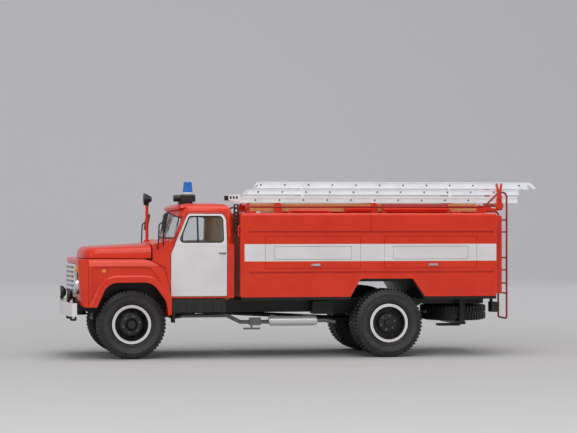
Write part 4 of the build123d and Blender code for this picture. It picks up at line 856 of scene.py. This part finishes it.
# %% Windscreen seal
SCREEN_SEAL_R = 0.2
SEAL_LOW, SEAL_TOP, SEAL_SIDE, SEAL_CROWN = 39.95, 47.0, 18.4, 0.0894
SEAL_STEPS, PILLAR_STEPS, PILLAR_BACK = 20, 9, 0.12


def half_seal(side):
    line = []
    for i in range(SEAL_STEPS):
        y = screen_edge(SEAL_LOW) * i / SEAL_STEPS
        line.append(on_front(cab_skin, side * y, SEAL_LOW))
    line += corner_line(side, SEAL_LOW, 0.0)
    for i in range(1, PILLAR_STEPS):
        z = SEAL_LOW + (SEAL_TOP - SEAL_LOW) * i / PILLAR_STEPS
        line.append(on_side(side, cut_edge(z) - PILLAR_BACK, z))
    line += reversed(corner_line(side, SEAL_TOP, 0.0))
    for i in range(1, SEAL_STEPS):
        y = SEAL_SIDE * (1 - i / SEAL_STEPS)
        line.append(on_front(cab_skin, side * y, SEAL_TOP + SEAL_CROWN * (SEAL_SIDE - y)))
    return line


line = half_seal(1) + list(reversed(half_seal(-1)))[:-1]
bead("screen_seal", line, SCREEN_SEAL_R, "vehicle", "black_rubber")
print("screen seal", len(line), "points")

# %% [markdown]
# ## Drip rails
# A rolled lip runs over each door and sheds water from the roof. It is one bent bead, pressed on
# the cab just outside the door's shut line, where its round edge takes the light.

# %% Drip rails
# X, Z and corner radius. The line is open, so the points that round its first corner are left out.
DRIP = [
    (-13.1, 37.4, 0.1), (-18.2, 48.95, 2.4), (-30.7, 48.95, 2.2), (-32.3, 46.2, 2.0),
    (-32.35, 40.0, 0.1),
]
FIRST_CORNER, DRIP_R = 6, 0.26

path = spread(rounded(DRIP), BEAD_GAP, closed=False)[FIRST_CORNER:]
for side, tag in SIDES:
    line = [on_side(side, x, z) for x, z in path]
    bead("drip_rail_" + tag, line, DRIP_R, "vehicle", "gloss_red_enamel", closed=False)
print("drip rails", len(SIDES))

# %% [markdown]
# ## Trim in the cab's rear corners
# Through the door window the rear corner of the cab is tan, like the seat. It is a thin sheet bent
# round the corner, leaning in with the walls.

# %% Corner trim
# Place along X and how far in from the wall; then height and half width inside the cab.
CORNER = [(-30.4, 0.0), (-31.4, 0.0), (-32.2, 0.7), (-32.6, 1.8), (-32.7, 4.2)]
LEVELS = [(38.6, 22.55), (47.0, 20.55)]
TRIM_T = 0.2

for side, tag in SIDES:
    bm = bmesh.new()
    rows = []
    for z, half in LEVELS:
        rows.append([bm.verts.new(at(x, side * (half - inset), z)) for x, inset in CORNER])
    for i in range(len(CORNER) - 1):
        bm.faces.new((rows[0][i], rows[0][i + 1], rows[1][i + 1], rows[1][i]))
    trim = finished("corner_trim_" + tag, bm, "vehicle", "tan_moulding", smooth=None)
    thicken(trim, TRIM_T, -1.0)
print("corner trim", len(SIDES))

# %% [markdown]
# ## Mirror heads and scuttle fillers
# A mirror has a moulded back round its glass, so it shows as a dark slab from the side. Behind the
# wing's round shoulder a red filler closes the gap to the cab. Both are flat plates cut to an
# outline, and the mirror back has its edges eased, as a moulding has.

# %% Mirror backs and fillers
BACK = [
    (-9.45, 42.4), (-9.3, 43.2), (-10.05, 47.7), (-10.6, 48.25), (-11.35, 47.9), (-11.25, 47.1),
    (-10.5, 43.0), (-10.1, 42.4),
]
BACK_INNER, BACK_WIDTH, BACK_EASE = 24.5, 3.0, 0.22
FILLER = [
    (-5.2, 32.4), (-8.6, 33.0), (-12.0, 30.9), (-13.4, 24.0), (-12.2, 24.0), (-10.6, 29.0),
    (-9.2, 31.0),
]
FILLER_INNER, FILLER_WIDTH = 22.9, 0.5

for side, tag in SIDES:
    bm = bmesh.new()
    add_plate(bm, side, BACK, BACK_INNER, BACK_WIDTH)
    back = finished("mirror_back_" + tag, bm, "vehicle", "satin_black_moulding", smooth=30)
    ease(back, BACK_EASE, 3)
    bm = bmesh.new()
    add_plate(bm, side, FILLER, FILLER_INNER, FILLER_WIDTH)
    finished("scuttle_filler_" + tag, bm, "vehicle", "gloss_red_enamel", smooth=30)
print("mirror backs and fillers", 2 * len(SIDES))

# %% [markdown]
# ## Bonnet
# The bonnet is one pressing: nearly flat on top, with full round shoulders and a round nose. The
# packed one has its size and seat with plain creases. This one is drawn as a grid, where each line
# across is a flattened ellipse, and each line along drops at the nose in the same way, so the whole
# skin is smooth.

# %% Bonnet skin
BONNET_REAR, BONNET_NOSE = -6.5, 16.15
# Half width and top at the rear, with what each loses for a millimetre forward; then the foot.
BONNET_HALF, HALF_LOSS, BONNET_TOP, TOP_LOSS, BONNET_LOW = 20.6, 0.19, 38.15, 0.052, 33.36
NOSE_BOW, NOSE_ROUND, NOSE_ROUND_POWER, NOSE_DEPTH = 1.3, 1.9, 10, 3.2
SHOULDER_POWER, NOSE_POWER = 5.0, 2.5
ACROSS, ALONG = 49, 40
SAME_POINT = 0.002


def squircle(share, power):
    return max(0.0, 1.0 - min(1.0, abs(share)) ** power) ** (1.0 / power)


def bonnet_point(along, across):
    nose = BONNET_NOSE - NOSE_BOW * across ** 2 - NOSE_ROUND * abs(across) ** NOSE_ROUND_POWER
    x = BONNET_REAR + along * (nose - BONNET_REAR)
    half = BONNET_HALF - (x - BONNET_REAR) * HALF_LOSS
    top = BONNET_TOP - (x - BONNET_REAR) * TOP_LOSS
    drop = squircle(max(0.0, 1.0 - (nose - x) / NOSE_DEPTH), NOSE_POWER)
    z = BONNET_LOW + (top - BONNET_LOW) * drop * squircle(across, SHOULDER_POWER)
    return at(x, across * half, z)


bm = bmesh.new()
shares = [math.sin(math.pi / 2 * (2 * j / (ACROSS - 1) - 1)) for j in range(ACROSS)]
lengths = [math.sin(math.pi / 2 * i / (ALONG - 1)) for i in range(ALONG)]
grid = [[bm.verts.new(bonnet_point(u, v)) for v in shares] for u in lengths]
for a, b in zip(grid, grid[1:]):
    for j in range(ACROSS - 1):
        bm.faces.new((a[j], a[j + 1], b[j + 1], b[j]))
rim = [row[0] for row in grid] + grid[-1][1:-1] + [row[-1] for row in reversed(grid)]
bm.faces.new(rim)
bm.faces.new(grid[0])
bmesh.ops.remove_doubles(bm, verts=bm.verts, dist=SAME_POINT * MM)
bonnet = finished("bonnet_skin", bm, "vehicle", "gloss_red_enamel", smooth=50)
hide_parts("bonnet")
print("bonnet faces", len(bonnet.data.polygons))

# %% [markdown]
# ## Wipers
# Two arms rest on the windscreen, pivoted at its foot. Each is a thin bent wire with a straight
# blade. Both are pressed onto the glass with a small lift, so they lie on it from any side.

# %% Wipers
WIPER_Y, WIPER_SWING = (9.0, -7.0), -3.5
FOOT_Z, FOOT_LIFT, TIP_Z, TIP_LIFT = 39.7, 0.1, 43.8, 0.45
ARM_R, ARM_BEND_AT, ARM_BEND = 0.10, 0.2, 0.4
BLADE_SPOTS, BLADE_SLOPE, BLADE_R, BLADE_LIFT = (-3.0, -1.0, 1.0, 3.0), 0.9, 0.11, 0.22

glass_skin = surface("cab_glass")
for i, foot in enumerate(WIPER_Y):
    base = on_front(cab_skin, foot, FOOT_Z, FOOT_LIFT)
    tip = on_front(glass_skin, foot + WIPER_SWING, TIP_Z, TIP_LIFT)
    arm = [base, base.lerp(tip, ARM_BEND_AT) + Vector((ARM_BEND * MM, 0, 0)), tip]
    bead(f"wiper_arm_{i}", arm, ARM_R, "vehicle", "satin_black_moulding", closed=False)
    blade = []
    for d in BLADE_SPOTS:
        y, z = foot + WIPER_SWING + d, TIP_Z + d * BLADE_SLOPE
        blade.append(on_front(glass_skin, y, z, BLADE_LIFT))
    bead(f"wiper_blade_{i}", blade, BLADE_R, "vehicle", "black_rubber", closed=False)
print("wipers", len(WIPER_Y))

# %% [markdown]
# ## Door levers and pull handles
# Each door has a short dark lever near its rear edge, and the body's front edge carries a red pull
# handle. A lever is a bent wire that stands on the door; a pull is a bent bead whose ends run into
# the panel.

# %% Handles
LEVER_FOOT, LEVER_END, LEVER_Z = -30.9, -28.7, 35.0
LEVER_OUT, LEVER_LIFT, LEVER_R = 0.45, 0.4, 0.2
PULL = [(-35.7, 44.2), (-35.0, 44.0), (-34.9, 43.4), (-34.9, 41.4), (-35.0, 40.8), (-35.7, 40.6)]
PULL_Y, PULL_R = 25.8, 0.24

for side, tag in SIDES:
    foot = on_side(side, LEVER_FOOT, LEVER_Z)
    lever_end = on_side(side, LEVER_END, LEVER_Z, LEVER_LIFT)
    lever = [foot, foot + LEFT * side * LEVER_OUT * MM, lever_end]
    bead("door_lever_" + tag, lever, LEVER_R, "vehicle", "dull_steel", closed=False)
for side, tag in SIDES:
    spots = [at(x, side * PULL_Y, z) for x, z in PULL]
    bead("pull_handle_" + tag, spots, PULL_R, "vehicle", "gloss_red_enamel", closed=False)
print("handles", 2 * len(SIDES))

# %% [markdown]
# ## Ladder rung ends
# The rungs of a fire ladder are pinned through the stiles, and on the model each pin end is a small
# hollow that lies in shade. Shallow black discs, set where the imported rungs come through, paint
# that shade.

# %% Rung ends
# Section: half width, middle height, first rung, last stile end.
RUNG_ROWS = [
    (6.2, 52.85, -43.8, -136.4), (5.2, 55.6, -44.9, -137.2), (4.2, 58.0, -46.0, -141.2),
]
RUNG_PITCH, END_CLEAR = 8.3, 2.5
# black discs: painted shade in the rung-end hollows
SOCKET_R, SOCKET_OUT, SOCKET_T, SOCKET_SIDES = 0.28, 0.08, 0.06, 12

bm = bmesh.new()
count = 0
for half, z, first, last in RUNG_ROWS:
    x = first
    while x > last + END_CLEAR:
        for side in (-1, 1):
            spot, axis = at(x, side * (half + SOCKET_OUT), z), LEFT * side
            add_prism(bm, circle(spot, axis, SOCKET_R * MM, SOCKET_SIDES), axis * SOCKET_T * MM)
            count += 1
        x -= RUNG_PITCH
finished("rung_socket_shade", bm, "vehicle", "satin_black_moulding")
print("sockets", count)

# %% [markdown]
# ## Ladder flanges
# Each stile is a channel, so a thin flange stands out along its top and bottom edge and draws the
# fine lines that the picture shows. The lowest section has a taller top flange, in which the next
# one slides. They are straight strips. A black plate behind the perforated feet paints the shade
# in their holes, so that they read.

# %% Ladder flanges
# Half width, bottom, top, front end, rear end of each stile.
STILES = [
    (6.2, 51.9, 53.8, -39.2, -136.0), (5.2, 54.7, 56.5, -42.2, -136.8),
    (4.2, 56.9, 59.1, -46.0, -137.6),
]
FLANGE_T, FLANGE_H, SLIDE_IN, SLIDE_H = 0.12, 0.32, 0.6, 0.35
# Black plate behind the feet's holes: painted shade in them.
# From and to, along X, outwards and up.
SHOE_HOLE_SHADE = (-34.8, -38.0), (5.3, 5.48), (52.8, 54.4)


def add_strip(bm, side, xs, ys, zs):
    (x0, x1), (y0, y1), (z0, z1) = xs, ys, zs
    ring = [at(x0, side * y, z) for y, z in ((y0, z0), (y1, z0), (y1, z1), (y0, z1))]
    add_prism(bm, ring, Vector(((x1 - x0) * MM, 0, 0)))


bm = bmesh.new()
for half, low_z, top_z, front, rear in STILES:
    for side in (-1, 1):
        for z in (low_z, top_z - FLANGE_H):
            add_strip(bm, side, (front, rear), (half, half + FLANGE_T), (z, z + FLANGE_H))
half, low_z, top_z, front, rear = STILES[0]
for side in (-1, 1):
    ys, zs = (half - SLIDE_IN, half + FLANGE_T), (top_z, top_z + SLIDE_H)
    add_strip(bm, side, (front, rear), ys, zs)
finished("ladder_flanges", bm, "vehicle", "ladder_silver_paint", smooth=20)
bm = bmesh.new()
for side in (-1, 1):
    add_strip(bm, side, *SHOE_HOLE_SHADE)
finished("shoe_hole_shade", bm, "vehicle", "satin_black_moulding", smooth=20)
print("flanges", 4 * len(STILES) + 2)

# %% [markdown]
# ## Beam and painted shade over the rear wheels
# Inside each rear arch a dark line shows under the red skin. A black strip stands for the floor's
# edge beam, and its black also paints the shade under the arch. It is one straight strip a side,
# well above the tyre.

# %% Arch beam and painted shade
ARCH_BEAM_AND_SHADE = (-71.5, -100.6), (19.0, 20.0), (25.3, 26.4)

bm = bmesh.new()
for side in (-1, 1):
    add_strip(bm, side, *ARCH_BEAM_AND_SHADE)
finished("arch_beam_and_shade", bm, "vehicle", "satin_black_moulding", smooth=20)
print("arch beams", len(SIDES))

# %% [markdown]
# ## Tubes on the roof
# Hoses travel in long tubes beside the ladders. The imported roof holds two of them a side. The
# picture shows two more, a short bright one and a long dark one that lies in the angle of the tube
# below it. The long one's darker red is painted shade from the ladder above it. Each is turned, with a
# raised cap at both ends.

# %% Roof tubes
# Name, front, rear, across, height of the middle, radius, finish.
TUBES = [
    ("short_case", -72.8, -81.9, 15.1, 49.62, 1.30, "gloss_red_enamel"),
    ("suction_hose", -86.2, -109.4, 13.7, 50.96, 0.64, "deep_red_enamel"),
]
# Change of radius and distance from the end.
TUBE_CAP = [(-0.25, 0.0), (0.0, 0.2), (0.0, 0.9), (-0.1, 1.0)]
TUBE_SIDES = 32

for name, front, rear, across, middle_z, radius, coat in TUBES:
    length = front - rear
    rows = [(radius + change, along) for change, along in TUBE_CAP]
    rows += [(radius + change, length - along) for change, along in reversed(TUBE_CAP)]
    for side, tag in SIDES:
        bm = bmesh.new()
        start = at(rear, side * across, middle_z)
        add_turned(bm, start, FORWARD, rows, TUBE_SIDES, closed=False)
        finished(f"{name}_{tag}", bm, "vehicle", coat, smooth=30)
print("tubes", len(SIDES) * len(TUBES))

# %% [markdown]
# ## Headlamp and searchlight lenses
# Lamp glasses are moulded clear and sit inside a bright rim. Each is a shallow dome, made by
# turning. The flutes of a lens this small are hardly seen, so a fine bump in the finish stands for
# them. The searchlight is dark inside, so its lens has a smoked tone.

# %% Headlamp and searchlight lenses
LENS_DOME = [(1.78, 0.0), (1.60, 0.14), (1.20, 0.26), (0.60, 0.34), (0.02, 0.36)]
SEARCH_DOME = [(1.75, 0.0), (1.4, 0.18), (0.8, 0.3), (0.02, 0.34)]
HEADLAMP_X, HEADLAMP_Y, HEADLAMP_Z = 18.13, 19.6, 25.0
LENS_SIDES, LENS_SINK, SEARCH_RISE = 40, 0.05, 0.1

for side, tag in SIDES:
    bm = bmesh.new()
    seat = at(HEADLAMP_X, side * HEADLAMP_Y, HEADLAMP_Z)
    add_turned(bm, seat, FORWARD, LENS_DOME, LENS_SIDES, closed=False)
    finished("headlamp_lens_" + tag, bm, "vehicle", "fluted_lens", smooth=60)
low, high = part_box("searchlight")
middle_y, middle_z = (low.y + high.y) / 2, (low.z + high.z) / 2
seat = Vector((high.x - LENS_SINK * MM, middle_y, middle_z + SEARCH_RISE * MM))
bm = bmesh.new()
add_turned(bm, seat, FORWARD, SEARCH_DOME, LENS_SIDES, closed=False)
finished("searchlight_lens", bm, "vehicle", "smoked_lens", smooth=60)
print("lenses", len(SIDES) + 1)

# %% [markdown]
# ## Tail lamps and the beacon's collar
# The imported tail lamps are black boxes, and each has a red and an amber window. Those are thin
# blocks with eased edges, set a little into the box. The beacon stands on a white collar, which is
# a turned ring round its foot.

# %% Tail lamps and beacon collar
# Name, inner and outer place across, finish.
TAIL_LENSES = (("stop", 17.95, 20.3, "red_lens"), ("turn", 20.4, 22.05, "amber_lens"))
TAIL_LOW, TAIL_TOP, TAIL_DEPTH, TAIL_EASE = 15.0, 17.95, 0.3, 0.12
COLLAR = [(1.75, 0.0), (1.92, 0.02), (1.95, 0.1), (1.95, 0.6), (1.90, 0.7), (1.72, 0.74)]
COLLAR_SIDES = 48

low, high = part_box("tail_lamps")
for side, tag in SIDES:
    for name, inner, outer, coat in TAIL_LENSES:
        bm = bmesh.new()
        corners = (inner, TAIL_LOW), (outer, TAIL_LOW), (outer, TAIL_TOP), (inner, TAIL_TOP)
        ring = [Vector((low.x + LENS_SINK * MM, side * y * MM, z * MM)) for y, z in corners]
        add_prism(bm, ring, Vector((-TAIL_DEPTH * MM, 0, 0)))
        window = finished(f"tail_{name}_{tag}", bm, "vehicle", coat, smooth=20)
        ease(window, TAIL_EASE, 3)
low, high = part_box("beacon")
bm = bmesh.new()
foot = Vector(((low.x + high.x) / 2, (low.y + high.y) / 2, low.z))
add_turned(bm, foot, UP, COLLAR, COLLAR_SIDES)
finished("beacon_collar", bm, "vehicle", "gloss_white_enamel", smooth=40)
print("tail lenses", len(SIDES) * len(TAIL_LENSES))

# %% [markdown]
# ## Sizes for the record
# A dressed part has to stay as large as the imported one, or it would no longer fit what it was made
# for. The box of the dressed model is printed here in millimetres, leaving out the paper sweep.

# %% Sizes for the record
low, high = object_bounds()
print("visual box", [round(v / MM, 2) for v in high - low])
